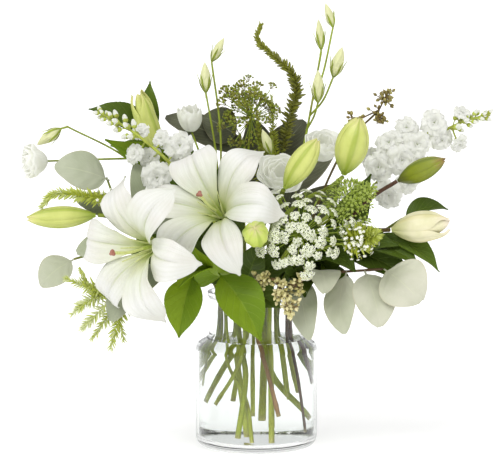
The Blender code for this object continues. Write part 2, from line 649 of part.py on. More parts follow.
# ---------------------------------------------------------------- leaves
def leaf_mesh(root, tip, width, facing, bow=0.12, fold=0.15, roundness=0.75, along=5):
    """A leaf blade from its stalk to its tip; facing is the way its upper side looks."""
    root = Vector(root)
    run = Vector(tip) - root
    length = run.length
    forward = run.normalized()
    up = Vector(facing)
    up = (up - forward * up.dot(forward)).normalized()
    side = forward.cross(up)

    def place(s, t):
        blade = max((s - 0.10) / 0.90, 0.0)
        outline = math.sin(math.pi * min(blade ** roundness, 0.99)) ** 0.75 if blade > 0 else 0.0
        half = max(width / 2 * outline, 0.0008)
        lift = bow * length * math.sin(math.pi * s) + fold * half * abs(t)
        return root + run * s + side * (t * half) + up * lift

    return blade_mesh(place, across=2, along=along)


# Each leaf: root on its branch, tip, width, upper side's direction.
SALAL_LEAVES = {
    "salal_branch_front": [
        ((-0.048, -0.086, 0.194), (-0.094, -0.153, 0.190), 0.026, (-0.3, -0.8, 0.4)),
        ((-0.034, -0.062, 0.186), (-0.062, -0.096, 0.216), 0.022, (-0.5, -0.8, 0.1)),
    ],
    "salal_branch_right": [
        ((0.149, -0.046, 0.243), (0.197, -0.036, 0.255), 0.024, (0.0, -0.5, 0.9)),
        ((0.104, -0.040, 0.214), (0.166, -0.084, 0.200), 0.030, (0.1, -0.6, 0.8)),
        ((0.125, -0.045, 0.226), (0.188, -0.070, 0.195), 0.028, (0.3, -0.6, 0.7)),
        ((0.070, -0.012, 0.198), (0.086, -0.084, 0.134), 0.028, (0.3, -0.8, 0.5)),
    ],
    "salal_branch_back": [
        ((-0.078, 0.050, 0.280), (-0.152, 0.030, 0.316), 0.030, (-0.3, -0.7, 0.6)),
        ((-0.110, 0.0448, 0.3235), (-0.158, 0.030, 0.346), 0.024, (-0.1, -0.6, 0.8)),
        ((-0.110, 0.0448, 0.3235), (-0.112, 0.040, 0.380), 0.018, (-0.1, -0.9, 0.2)),
        ((-0.048, 0.048, 0.220), (-0.020, 0.080, 0.290), 0.036, (0.1, 0.9, 0.3)),
        ((-0.058, 0.0488, 0.240), (-0.100, 0.085, 0.250), 0.036, (-0.2, 0.8, 0.5)),
    ],
}
SALAL_FRONT_LEAVES = {
    "salal_leaf_front_left": ((-0.0630, -0.1030, 0.196), (-0.080, -0.118, 0.132), 0.037, (-0.2, -1.0, 0.2)),
    "salal_leaf_front_centre": ((-0.0400, -0.0960, 0.196), (0.006, -0.124, 0.131), 0.044, (0.2, -1.0, 0.3)),
}
EUCALYPTUS_LEAVES = {
    "eucalyptus_branch_left": [
        ((-0.188, -0.046, 0.202), (-0.224, -0.056, 0.176), 0.034, (-0.2, -0.9, 0.4)),
        ((-0.130, -0.034, 0.216), (-0.176, -0.070, 0.214), 0.026, (0.1, -0.9, 0.5)),
        ((-0.080, -0.016, 0.206), (-0.138, -0.100, 0.148), 0.036, (-0.4, -0.8, 0.4)),
        ((-0.152, -0.030, 0.282), (-0.206, -0.050, 0.300), 0.038, (0.2, -0.9, 0.5)),
        ((-0.139, -0.034, 0.245), (-0.184, -0.038, 0.262), 0.026, (0.1, -0.8, 0.6)),
    ],
    "eucalyptus_branch_right": [
        ((0.060, -0.046, 0.187), (0.068, -0.128, 0.182), 0.036, (0.1, -0.4, 0.9)),
        ((0.092, -0.068, 0.192), (0.086, -0.104, 0.134), 0.034, (-0.5, -0.8, 0.3)),
        ((0.0465, -0.0345, 0.1790), (0.052, -0.106, 0.130), 0.030, (-0.3, -0.8, 0.5)),
        ((0.110, -0.075, 0.194), (0.124, -0.108, 0.142), 0.040, (0.1, -0.9, 0.4)),
    ],
    "eucalyptus_branch_back": [
        ((0.006, 0.062, 0.280), (0.050, 0.058, 0.338), 0.036, (0.1, -0.9, 0.4)),
        ((0.0165, 0.0605, 0.250), (0.084, 0.056, 0.318), 0.034, (0.2, -0.8, 0.4)),
        ((-0.0195, 0.0542, 0.3213), (-0.056, 0.044, 0.342), 0.038, (-0.1, -0.9, 0.4)),
        ((-0.0070, 0.0590, 0.3015), (-0.096, 0.050, 0.342), 0.030, (-0.2, -0.8, 0.5)),
        ((0.024, 0.058, 0.220), (0.070, 0.088, 0.240), 0.038, (0.3, 0.8, 0.4)),
        ((0.0155, 0.0607, 0.253), (-0.014, 0.098, 0.262), 0.038, (-0.1, 0.9, 0.4)),
    ],
}


def make_leaves():
    for name, leaves in SALAL_LEAVES.items():
        blades = [leaf_mesh(*leaf) for leaf in leaves]
        fused_part(name, stalk_mesh(name), blades, "salal_leaf")
    for name, leaf in SALAL_FRONT_LEAVES.items():
        add_part(name, leaf_mesh(*leaf, along=8), "salal_leaf")
    for name, leaves in EUCALYPTUS_LEAVES.items():
        blades = [leaf_mesh(*leaf, roundness=0.9) for leaf in leaves]
        if name == "eucalyptus_branch_left":
            shoot = [(-0.118, -0.030, 0.2145), (-0.139, -0.034, 0.245), (-0.155, -0.030, 0.285)]
            blades.insert(0, tube_mesh(shoot, 0.0014, 0.0011))
        fused_part(name, stalk_mesh(name), blades, "eucalyptus_leaf")
    far_leaf = leaf_mesh((0.1296, -0.0814, 0.1960), (0.166, -0.106, 0.168), 0.054,
                         (-0.1, -0.9, 0.5), roundness=0.9)
    add_part("eucalyptus_leaf_right", far_leaf, "eucalyptus_leaf")


# ---------------------------------------------------------------- seeded eucalyptus
SEED_LUMPS = {
    "seeded_eucalyptus_front": [
        ((0.024, -0.112, 0.178), 0.015), ((0.008, -0.108, 0.186), 0.012),
        ((0.040, -0.110, 0.180), 0.012), ((0.030, -0.118, 0.164), 0.012)],
    "seeded_eucalyptus_right": [
        ((0.130, 0.010, 0.355), 0.0095), ((0.121, 0.010, 0.340), 0.0085), ((0.104, 0.012, 0.332), 0.0080)],
}


def make_seeded_eucalyptus():
    for name, lumps in SEED_LUMPS.items():
        heads = [ball_mesh(centre, radius) for centre, radius in lumps]
        fused_part(name, stalk_mesh(name), heads, "eucalyptus_seed")


make_vase()
make_water()
make_lily_stalks()
for bloom_name in BLOOMS:
    make_bloom(bloom_name)
make_lily_buds()
make_lisianthus()
make_stock()
make_loosestrife()
make_ammi()
make_leaves()
make_seeded_eucalyptus()
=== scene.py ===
import math

import bpy
from mathutils import Matrix, Vector
import numpy as np
from numpy import clip, cos, exp, pi, sin


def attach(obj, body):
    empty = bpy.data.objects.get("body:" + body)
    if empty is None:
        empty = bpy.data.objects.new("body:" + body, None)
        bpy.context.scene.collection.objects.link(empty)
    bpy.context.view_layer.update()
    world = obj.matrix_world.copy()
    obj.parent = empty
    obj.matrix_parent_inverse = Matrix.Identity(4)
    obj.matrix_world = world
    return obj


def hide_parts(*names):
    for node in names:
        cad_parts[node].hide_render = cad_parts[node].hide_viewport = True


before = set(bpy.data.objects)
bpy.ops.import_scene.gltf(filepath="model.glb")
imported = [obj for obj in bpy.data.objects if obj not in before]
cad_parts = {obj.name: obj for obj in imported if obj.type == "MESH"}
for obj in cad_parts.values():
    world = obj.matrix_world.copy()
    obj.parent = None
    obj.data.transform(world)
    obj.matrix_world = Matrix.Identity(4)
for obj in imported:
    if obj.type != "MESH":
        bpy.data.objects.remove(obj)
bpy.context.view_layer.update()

TURN = 2 * pi
GOLDEN_ANGLE = 2.39996

# ---------------- layout, as in the CAD
VASE_HEIGHT = 0.163
BODY_RADIUS = 0.064
NECK_RADIUS = 0.050
RIM_RADIUS = 0.0515
SHOULDER_TOP = 0.116
SHOULDER_BOTTOM = 0.107
HEEL_FILLET = 0.009
WALL = 0.003
BASE_THICKNESS = 0.007
RIM_ROUND = 0.0014
SHOULDER_FILLET = 0.008
WATER_LEVEL = 0.1115
WATER_GAP = 0.00012
MENISCUS = 0.0011

TEPAL_REACH = 0.075
FUNNEL_HEIGHT = 0.035
THROAT_RADIUS = 0.0046
STYLE_LENGTH = 0.058
GROOVE_WIDTH = 0.0020
RIDGE_PLACE = 0.0055
RIDGE_WIDTH = 0.0030
RUFFLE_HEIGHT = 0.0042
TEPAL_THICKNESS = 0.0009
THIN_PETAL = 0.0004
LEAF_THICKNESS = 0.0006
STEM_SIDES = 12
SIDE_STALK = 0.0021
SHOOT_RADII = (0.0011, 0.0010)
BUD_GAP = 0.0016

# radius at the cut end, radius at the top, tone (0 brown or pink, 1 fresh green), route
STALKS = {
    "lily_stalk_left": (2.7, 2.4, 0.55, [(-17.5, -36, 14), (-10, -34, 80), (-18, -30, 120),
        (-25, -33, 167), (-46, -56, 192), (-75, -90, 208), (-98.5, -120.8, 222.9)]),
    "lily_stalk_top": (2.7, 2.4, 0.6, [(-47, -16, 48), (-26, -17, 90), (-10, -16.5, 120),
        (-13, -18, 167), (-13, -38, 210), (-20, -64, 233), (-34.1, -88.5, 250)]),
    "lily_stalk_centre": (2.9, 2.4, 0.55, [(49, -13, 30), (14.5, -13.5, 75), (8, -13.5, 120),
        (10, -16, 167), (14, -40, 225), (22, -80, 262), (26.8, -99, 278.5)]),
    "lily_stalk_right": (2.4, 2.1, 0.18, [(50.5, -7, 66), (41, -7, 98), (35, -7, 120), (40, -8, 167),
        (75, -22, 215), (115, -40, 262), (143.5, -49.8, 282.8)]),
    "lisianthus_sprig_right": (1.9, 1, 0.7, [(30, 18, 54), (21, 16.5, 120), (24, 18, 167),
        (40, 22, 260), (55, 24, 340), (68, 30, 412)]),
    "lisianthus_sprig_left": (1.7, 0.9, 0.7, [(-45, 27, 46), (-33, 20.5, 85), (-22, 13.5, 120),
        (-26, 14, 167), (-36, 14, 240), (-43, 14, 310), (-52.5, 10.5, 368)]),
    "lisianthus_sprig_far_left": (1.6, 0.9, 0.65, [(-54.5, 16, 60), (-44, 10.5, 92), (-33, 5.5, 120),
        (-40, 8, 167), (-78, 10, 245), (-135, 0, 302), (-197.5, -9, 336.5)]),
    "lisianthus_sprig_centre": (1.8, 1.2, 0.7, [(-3, -12, 34), (-3, -3, 120), (-1, -1, 167),
        (6, -2, 220), (14, -18, 256), (23.5, -41.5, 280)]),
    "stock_stem_left": (2.4, 1.6, 0.85, [(-7, 6, 10), (-18, 1, 120), (-22, 0, 167), (-34, -4, 215),
        (-50, -10, 246), (-68, -18, 270)]),
    "stock_stem_right": (2.8, 1.8, 0.85, [(4, 16, 26), (7, 6, 120), (12, 7, 167), (45, 6, 215),
        (85, 2, 248), (118, 0, 268)]),
    "loosestrife_top": (2, 1.1, 0.5, [(10, 34, 16), (10, 27, 120), (13, 28, 167), (20, 36, 240),
        (28, 32, 310)]),
    "loosestrife_left": (1.5, 1.1, 0.6, [(-53, -21.5, 66), (-45, -17, 96), (-36, -13, 120),
        (-40, -13, 167), (-66, -24, 215), (-100, -36, 246), (-134, -54, 260)]),
    "loosestrife_right": (1.5, 1.2, 0.6, [(27, -24, 56), (23.5, -23, 85), (20, -20.5, 120),
        (23, -25, 167), (40, -58, 200), (68, -92, 219), (96, -112, 228)]),
    "loosestrife_low_left": (1.9, 0.9, 0.7, [(-4, -27, 8), (-9, -27.5, 52), (-25, -27, 88),
        (-30, -23.5, 120), (-36, -22, 167), (-70, -40, 188), (-108, -56, 184), (-142, -66, 172)]),
    "ammi_stem_white": (2.7, 1.6, 0.8, [(14, -36, 9), (13, -31, 120), (15, -34, 167), (24, -60, 200),
        (36, -88, 222), (43.5, -103, 234)]),
    "ammi_umbel_green": (1.6, 1.2, 0.8, [(26, -3, 50), (20, -1, 120), (23, -2, 167), (48, -20, 215),
        (78, -52, 246), (100, -78, 262)]),
    "ammi_umbel_back": (1.7, 1.1, 0.75, [(-15.5, 31, 44), (-9, 21, 120), (-10, 22, 167), (-13, 28, 240),
        (-9, 30, 300), (-6, 30, 345)]),
    "seeded_eucalyptus_front": (2.2, 1.6, 0, [(21.5, -44.5, 38), (10, -43, 86), (1, -38.5, 120),
        (4, -39, 167), (12, -62, 182), (20, -90, 186), (26, -108, 184)]),
    "seeded_eucalyptus_right": (1.9, 1, 0.25, [(50.5, 24, 44), (43, 20, 84), (34, 16, 120),
        (38, 17, 167), (64, 20, 250), (94, 14, 315), (128, 10, 352)]),
    "eucalyptus_branch_left": (2.6, 1.2, 0.45, [(-56.5, -6, 74), (-46.5, -4, 100), (-40, -3, 120),
        (-42, -4, 167), (-80, -16, 206), (-130, -34, 216), (-188, -46, 202)]),
    "eucalyptus_branch_right": (1.7, 1.3, 0.2, [(47.5, -27, 18), (39, -26, 72), (31, -24.5, 120),
        (36, -23, 167), (60, -46, 187), (92, -68, 192), (128, -80, 196)]),
    "eucalyptus_branch_back": (2.2, 1.2, 0.4, [(36, 42, 56), (23, 32, 120), (26, 36, 167),
        (24, 58, 220), (6, 62, 280), (-20, 54, 322)]),
    "salal_branch_front": (2, 1.4, 0.65, [(-41, -39, 49), (-20, -42, 85), (-12, -40.5, 120),
        (-20, -39, 167), (-34, -62, 186), (-48, -86, 194), (-60, -100, 199)]),
    "salal_branch_right": (2.2, 1.3, 0.45, [(54.5, 9, 58), (46, 6, 92), (36, 4, 120), (41, 4, 167),
        (70, -12, 198), (104, -40, 214), (150, -46, 244)]),
    "salal_branch_back": (2.3, 1.3, 0.5, [(-40, 38, 58), (-31.5, 33.5, 90), (-23, 29, 120),
        (-27, 31, 167), (-48, 48, 220), (-78, 50, 280), (-112, 44, 326)]),
}


# ---------------- small vector tools
def mm(value):
    """Millimetres from a layout table, as metres."""
    return np.array(value) * 0.001


def unit(v):
    v = np.asarray(v, float)
    return v / np.linalg.norm(v)


def aim(direction, hint=(0, 0, 1)):
    """3x3 matrix whose columns are x (near the hint), y and z (along direction)."""
    z = unit(direction)
    hint = unit(hint)
    if abs(z @ hint) > 0.98:
        hint = np.array([1.0, 0.0, 0.0])
    x = unit(hint - z * (hint @ z))
    return np.stack([x, np.cross(z, x), z], axis=1)


def spin(angle):
    c, s = math.cos(angle), math.sin(angle)
    return np.array([[c, -s, 0], [s, c, 0], [0, 0, 1.0]])


def smooth_route(points, per_span=6):
    """Points along a Catmull-Rom curve through the given ones."""
    knots = np.asarray(points, float)
    if len(knots) == 2:
        return np.linspace(knots[0], knots[1], per_span + 1)
    ends = np.vstack([2 * knots[0] - knots[1], knots, 2 * knots[-1] - knots[-2]])
    route = []
    for a, b, c, d in zip(ends[:-3], ends[1:-2], ends[2:-1], ends[3:]):
        for t in np.arange(per_span) / per_span:
            route.append(0.5 * (2 * b + (c - a) * t + (2 * a - 5 * b + 4 * c - d) * t * t
                                + (3 * b - a - 3 * c + d) * t ** 3))
    route.append(knots[-1])
    return np.array(route)


def ease(low, high, value):
    t = clip((value - low) / (high - low), 0, 1)
    return t * t * (3 - 2 * t)


# ---------------- mesh collector
MARKS = ("along", "across", "tone", "kind", "under")


class Shape:
    """Collects closed sheets, tubes and lumps that become one piece."""

    def __init__(self):
        self.points = []
        self.faces = []
        self.marks = {name: [] for name in MARKS}
        self.count = 0

    def add(self, points, faces, **marks):
        points = np.asarray(points, float).reshape(-1, 3)
        self.points.append(points)
        self.faces.extend([np.asarray(f, int) + self.count for f in faces])
        for name in MARKS:
            value = np.broadcast_to(np.asarray(marks.get(name, 0.0), float), (len(points),))
            self.marks[name].append(value)
        self.count += len(points)

    def stamp(self, other, rotation, origin, scale=1.0, tone=None):
        """Adds a turned, scaled and moved copy of another shape."""
        points = np.vstack(other.points) * scale @ np.asarray(rotation).T + np.asarray(origin)
        marks = {name: np.concatenate(other.marks[name]) for name in MARKS}
        if tone is not None:
            marks["tone"] = tone
        self.add(points, other.faces, **marks)

    def sheet(self, place, along=20, across=10, thickness=0.0005, **marks):
        """A thin closed sheet; place(s, t) is vectorised, s from 0 to 1 along, t from -1 to 1 across."""
        s, t = np.meshgrid(np.linspace(0, 1, along + 1), np.linspace(-1, 1, across + 1), indexing="ij")
        middle = place(s, t)
        ds = np.gradient(middle, axis=0)
        dt = np.gradient(middle, axis=1)
        normal = np.cross(ds, dt)
        normal /= np.maximum(np.linalg.norm(normal, axis=2, keepdims=True), 1e-12)
        top = middle + normal * thickness / 2
        bottom = middle - normal * thickness / 2
        n = (along + 1) * (across + 1)
        index = np.arange(n).reshape(along + 1, across + 1)
        quads = np.stack([index[:-1, :-1], index[1:, :-1], index[1:, 1:], index[:-1, 1:]], -1)
        quads = quads.reshape(-1, 4)
        rim = np.concatenate([index[0, :], index[1:, -1], index[-1, -2::-1], index[-2:0:-1, 0]])
        wall = np.stack([rim, np.roll(rim, -1), np.roll(rim, -1) + n, rim + n], -1)
        faces = [*quads, *(quads[:, ::-1] + n), *wall]
        doubled = {"along": np.tile(s.ravel(), 2), "across": np.tile(t.ravel(), 2),
                   "under": np.repeat([0.0, 1.0], n)}
        self.add(np.vstack([top.reshape(-1, 3), bottom.reshape(-1, 3)]), faces, **{**doubled, **marks})

    def tube(self, route, radii, sides=10, **marks):
        """A capped tube along a list of points."""
        route = np.asarray(route, float)
        radii = np.broadcast_to(np.asarray(radii, float), (len(route),))
        tangents = np.gradient(route, axis=0)
        side = aim(tangents[0])[:, 0]
        angles = np.arange(sides) / sides * TURN
        rings = []
        for point, tangent, radius in zip(route, tangents, radii):
            tangent = unit(tangent)
            side = unit(side - tangent * (side @ tangent))
            other = np.cross(tangent, side)
            rings.append(point + radius * (np.outer(cos(angles), side) + np.outer(sin(angles), other)))
        self.lathe_rings(rings, route[0], route[-1], **marks)

    def lathe_rings(self, rings, start, end, **marks):
        """Joins rings of points into a closed skin, with a middle point at each end."""
        count, sides = len(rings), len(rings[0])
        index = np.arange(count * sides).reshape(count, sides)
        turned = np.roll(index, -1, axis=1)
        quads = np.stack([index[:-1], turned[:-1], turned[1:], index[1:]], -1).reshape(-1, 4)
        first, last = count * sides, count * sides + 1
        caps = [(first, turned[0, k], index[0, k]) for k in range(sides)]
        caps += [(last, index[-1, k], turned[-1, k]) for k in range(sides)]
        along = np.repeat(np.linspace(0, 1, count), sides)
        across = np.tile(np.arange(sides) / sides * 2 - 1, count)
        own = {"along": np.append(along, [0, 1]), "across": np.append(across, [0, 0])}
        self.add(np.vstack([*rings, start, end]), [*quads, *caps], **{**own, **marks})

    def turned(self, base, tip, radius_at, rings=14, sides=16, hint=(0, 0, 1), **marks):
        """A solid of rings from base to tip; radius_at(t, angles) gives each ring's radius or radii."""
        base, tip = np.asarray(base, float), np.asarray(tip, float)
        turn = aim(tip - base, hint)
        angles = np.arange(sides) / sides * TURN
        levels = (1 - cos(pi * np.arange(1, rings) / rings)) / 2
        out = []
        for t in levels:
            r = radius_at(t, angles) * np.ones(sides)
            ring = np.stack([cos(angles) * r, sin(angles) * r, np.zeros(sides)], 1)
            out.append(base + (tip - base) * t + ring @ turn.T)
        self.lathe_rings(out, base, tip, **marks)

    def build(self, name, material, slot, node, crease=50):
        """Makes the piece that stands in the place of a CAD node."""
        mesh = bpy.data.meshes.new(name)
        mesh.from_pydata(np.vstack(self.points).tolist(), [], [f.tolist() for f in self.faces])
        for mark in MARKS:
            values = mesh.attributes.new(mark, "FLOAT", "POINT")
            values.data.foreach_set("value", np.concatenate(self.marks[mark]).astype(np.float32))
        mesh.materials.append(material)
        mesh.shade_smooth()
        mesh.set_sharp_from_angle(angle=math.radians(crease))
        piece = bpy.data.objects.new(name, mesh)
        bpy.context.scene.collection.objects.link(piece)
        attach(piece, "root")
        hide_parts(node)
        return piece


# ---------------- materials
class Nodes:
    """Short ways to wire one material's nodes."""

    def __init__(self, name):
        self.material = bpy.data.materials.new(name)
        self.material.use_nodes = True
        self.tree = self.material.node_tree
        self.shader = self.tree.nodes["Principled BSDF"]
        self.output = self.tree.nodes["Material Output"]

    def link(self, socket, value):
        if isinstance(value, bpy.types.NodeSocket):
            self.tree.links.new(value, socket)
        else:
            socket.default_value = value

    def math(self, operation, a, b=0.0):
        node = self.tree.nodes.new("ShaderNodeMath")
        node.operation = operation
        self.link(node.inputs[0], a)
        self.link(node.inputs[1], b)
        return node.outputs[0]

    def times(self, a, b):
        return self.math("MULTIPLY", a, b)

    def plus(self, a, b):
        return self.math("ADD", a, b)

    def mark(self, name):
        node = self.tree.nodes.new("ShaderNodeAttribute")
        node.attribute_name = name
        return node.outputs["Fac"]

    def ramp(self, mark, stops):
        """Colour by one of the marks; each stop is a position, red, green and blue."""
        node = self.tree.nodes.new("ShaderNodeValToRGB")
        elements = node.color_ramp.elements
        while len(elements) < len(stops):
            elements.new(0.5)
        for element, (position, *colour) in zip(elements, stops):
            element.position = position
            element.color = (*colour, 1.0)
        self.link(node.inputs[0], self.mark(mark))
        return node.outputs["Color"]

    def mix(self, factor, a, b, blend="MIX"):
        node = self.tree.nodes.new("ShaderNodeMix")
        node.data_type = "RGBA"
        node.blend_type = blend
        for socket, value in ((node.inputs["Factor"], factor), (node.inputs[6], a), (node.inputs[7], b)):
            if isinstance(value, tuple):
                value = (*value, 1.0)
            self.link(socket, value)
        return node.outputs[2]

    def noise(self, scale, detail=3.0, stretch=(1, 1, 1)):
        coordinates = self.tree.nodes.new("ShaderNodeTexCoord")
        mapping = self.tree.nodes.new("ShaderNodeMapping")
        mapping.inputs["Scale"].default_value = stretch
        node = self.tree.nodes.new("ShaderNodeTexNoise")
        node.inputs["Scale"].default_value = scale
        node.inputs["Detail"].default_value = detail
        self.tree.links.new(coordinates.outputs["Object"], mapping.inputs["Vector"])
        self.tree.links.new(mapping.outputs["Vector"], node.inputs["Vector"])
        return node.outputs["Fac"]

    def between(self, value, low, high):
        """0 below low, 1 above high, smooth between."""
        node = self.tree.nodes.new("ShaderNodeMapRange")
        node.interpolation_type = "SMOOTHSTEP"
        self.link(node.inputs["Value"], value)
        node.inputs["From Min"].default_value = low
        node.inputs["From Max"].default_value = high
        return node.outputs["Result"]

    def mottle(self, colour, pattern, low, high, tint):
        """Takes the colour down to the tint where the pattern is high."""
        return self.mix(self.between(pattern, low, high), colour, tint, "MULTIPLY")

    def lines(self, count):
        """Fine lines that run along a blade."""
        return self.math("SINE", self.times(self.mark("across"), count))

    def uneven(self, scale, spread, least):
        """A roughness that wanders over the surface."""
        return self.plus(self.times(self.noise(scale), spread), least)

    def midrib(self, width, fade_from, fade_to):
        """1 on the midrib, fading out along the blade."""
        near = self.between(self.math("ABSOLUTE", self.mark("across")), 0.0, width)
        fade = self.between(self.mark("along"), fade_from, fade_to)
        return self.times(self.math("SUBTRACT", 1.0, near), self.math("SUBTRACT", 1.0, fade))

    def side_veins(self, count, slant):
        """Thin side veins that leave the midrib at a slant."""
        sideways = self.times(self.math("ABSOLUTE", self.mark("across")), slant)
        steps = self.times(self.math("SUBTRACT", self.mark("along"), sideways), count)
        saw = self.math("ABSOLUTE", self.math("SUBTRACT", self.math("FRACT", steps), 0.5))
        return self.between(saw, 0.40, 0.50)

    def edge_on(self, blend):
        """Towards 1 where the surface is seen edge on."""
        node = self.tree.nodes.new("ShaderNodeLayerWeight")
        node.inputs["Blend"].default_value = blend
        return node.outputs["Facing"]

    def bump(self, height, strength, distance):
        node = self.tree.nodes.new("ShaderNodeBump")
        node.inputs["Strength"].default_value = strength
        node.inputs["Distance"].default_value = distance
        self.link(node.inputs["Height"], height)
        self.tree.links.new(node.outputs["Normal"], self.shader.inputs["Normal"])

    def finish(self, colour, rough, translucent=0.0, **sockets):
        self.link(self.shader.inputs["Base Color"], colour)
        self.link(self.shader.inputs["Roughness"], rough)
        for name, value in sockets.items():
            self.shader.inputs[name.replace("_", " ")].default_value = value
        if translucent:
            through = self.tree.nodes.new("ShaderNodeBsdfTranslucent")
            self.link(through.inputs["Color"], colour)
            blend = self.tree.nodes.new("ShaderNodeMixShader")
            blend.inputs[0].default_value = translucent
            self.tree.links.new(self.shader.outputs[0], blend.inputs[1])
            self.tree.links.new(through.outputs[0], blend.inputs[2])
            self.tree.links.new(blend.outputs[0], self.output.inputs["Surface"])
        return self.material


def petal_material():
    n = Nodes("lily_petal")
    colour = n.ramp("along", [
        (0.0, 0.30, 0.40, 0.06), (0.05, 0.50, 0.60, 0.16), (0.13, 0.68, 0.72, 0.44),
        (0.30, 0.76, 0.785, 0.66), (0.66, 0.81, 0.81, 0.78), (1.0, 0.78, 0.79, 0.73)])
    colour = n.mix(n.times(n.midrib(0.10, 0.15, 0.80), 0.50), colour, (0.52, 0.62, 0.24))
    colour = n.mix(n.times(n.mark("under"), 0.30), colour, (0.66, 0.73, 0.48))
    streaks = n.math("SINE", n.plus(n.times(n.mark("across"), 26.0), n.times(n.noise(30.0), 3.0)))
    colour = n.mix(n.between(streaks, -0.6, 1.4), colour, (0.965, 0.97, 0.95), "MULTIPLY")
    colour = n.mottle(colour, n.noise(28.0), 0.35, 0.75, (0.95, 0.925, 0.90))
    n.bump(n.plus(n.times(n.lines(62.0), 0.5), n.noise(420.0, 2.0)), 0.30, 0.0006)
    return n.finish(colour, n.uneven(90.0, 0.15, 0.40), translucent=0.14, Sheen_Weight=0.08,
                    Specular_IOR_Level=0.35)


def pistil_material():
    n = Nodes("lily_pistil")
    colour = n.ramp("kind", [(0.0, 0.40, 0.52, 0.08), (0.45, 0.62, 0.68, 0.22), (0.6, 0.68, 0.72, 0.36),
                             (1.0, 0.34, 0.13, 0.085)])
    colour = n.mottle(colour, n.noise(500.0), 0.4, 0.7, (0.86, 0.82, 0.74))
    n.bump(n.noise(900.0, 2.0), 0.3, 0.0004)
    return n.finish(colour, n.uneven(300.0, 0.2, 0.28), Coat_Weight=0.2)


def bud_material(name, base, middle, tip, rib):
    """A waxy bud: greener at the foot and along its ribs."""
    n = Nodes(name)
    colour = n.ramp("along", [(0.0, *base), (0.35, *middle), (0.80, *middle), (1.0, *tip)])
    colour = n.mix(n.times(n.between(n.mark("kind"), 0.25, 0.95), 0.65), colour, rib)
    colour = n.mottle(colour, n.noise(60.0, 4.0), 0.35, 0.75, (0.88, 0.90, 0.78))
    n.bump(n.plus(n.times(n.lines(90.0), 0.4), n.noise(500.0, 2.0)), 0.25, 0.0005)
    return n.finish(colour, n.uneven(120.0, 0.2, 0.34), Coat_Weight=0.08)


def stem_material():
    """Green stems; pinkish brown at tone 0, dark brown near 0.2."""
    n = Nodes("stem")
    colour = n.ramp("tone", [
        (0.0, 0.50, 0.30, 0.15), (0.18, 0.10, 0.045, 0.025), (0.30, 0.16, 0.14, 0.025),
        (0.50, 0.19, 0.25, 0.02), (0.75, 0.33, 0.42, 0.035), (1.0, 0.52, 0.60, 0.10)])
    colour = n.mottle(colour, n.noise(130.0, 4.0, (1, 1, 0.15)), 0.3, 0.75, (0.60, 0.56, 0.40))
    flush = n.between(n.noise(42.0, 2.0), 0.60, 0.72)
    colour = n.mix(n.times(flush, 0.55), colour, (0.30, 0.25, 0.06))
    cut = n.math("SUBTRACT", 1.0, n.between(n.mark("along"), 0.0, 0.02))
    colour = n.mix(n.times(cut, 0.6), colour, (0.50, 0.44, 0.22))
    n.bump(n.plus(n.times(n.lines(34.0), 0.4), n.noise(350.0, 3.0)), 0.35, 0.0006)
    return n.finish(colour, n.uneven(150.0, 0.25, 0.36), Specular_IOR_Level=0.4)


def salal_material():
    n = Nodes("salal_leaf")
    # the tone ramp is partly the leaves' own range of greens and partly painted light and shade: its
    # near-black low end is painted shade for leaves deep in the bunch, its bright yellow-green high end
    # painted light for front leaves lit through
    colour = n.ramp("tone", [(0.0, 0.020, 0.027, 0.002), (0.35, 0.052, 0.076, 0.003),
                             (0.65, 0.145, 0.225, 0.002), (1.0, 0.350, 0.490, 0.002)])
    veins = n.side_veins(8.0, 0.30)
    rib = n.midrib(0.055, 0.85, 1.0)
    light = n.mix(0.35, colour, (0.36, 0.48, 0.08))
    colour = n.mottle(colour, n.noise(45.0, 5.0), 0.3, 0.75, (0.84, 0.86, 0.55))
    # painted shade: the half of the blade on the negative across side is multiplied darker, as if that side
    # of the fold faced away from the light
    half = n.between(n.times(n.mark("across"), -1.0), -0.06, 0.06)
    colour = n.mix(half, colour, (0.70, 0.78, 0.65), "MULTIPLY")
    colour = n.mix(n.times(veins, 0.45), colour, light)
    colour = n.mix(n.times(rib, 0.8), colour, light)
    colour = n.mix(n.times(n.mark("under"), 0.35), colour, (0.16, 0.26, 0.04))
    n.bump(n.plus(n.times(n.plus(veins, rib), -0.7), n.noise(260.0, 3.0)), 0.5, 0.0008)
    return n.finish(colour, n.uneven(110.0, 0.2, 0.28), translucent=0.16, Specular_IOR_Level=0.14)


def eucalyptus_material():
    n = Nodes("eucalyptus_leaf")
    # tone runs from dark grey-green to pale cream, the leaves' own colours; the darkest tones, given to the
    # leaves deep in the bunch, are also painted shade
    colour = n.ramp("tone", [
        (0.0, 0.070, 0.074, 0.040), (0.20, 0.125, 0.130, 0.078), (0.50, 0.24, 0.27, 0.16),
        (0.80, 0.47, 0.50, 0.37), (1.0, 0.66, 0.65, 0.53)])
    veins = n.side_veins(9.0, 0.55)
    rib = n.midrib(0.05, 0.7, 1.0)
    light = n.mix(0.40, colour, (0.72, 0.74, 0.52))
    colour = n.mix(n.times(veins, 0.22), colour, light)
    colour = n.mix(n.times(rib, 0.7), colour, light)
    colour = n.mottle(colour, n.noise(30.0, 6.0), 0.35, 0.7, (0.84, 0.87, 0.80))
    edge = n.between(n.math("ABSOLUTE", n.mark("across")), 0.93, 1.0)
    colour = n.mix(n.times(edge, 0.30), colour, (0.50, 0.42, 0.26))
    n.bump(n.plus(n.times(n.plus(veins, rib), 0.4), n.noise(300.0, 3.0)), 0.35, 0.0006)
    return n.finish(colour, n.uneven(80.0, 0.15, 0.55), translucent=0.12, Sheen_Weight=0.15,
                    Specular_IOR_Level=0.3)


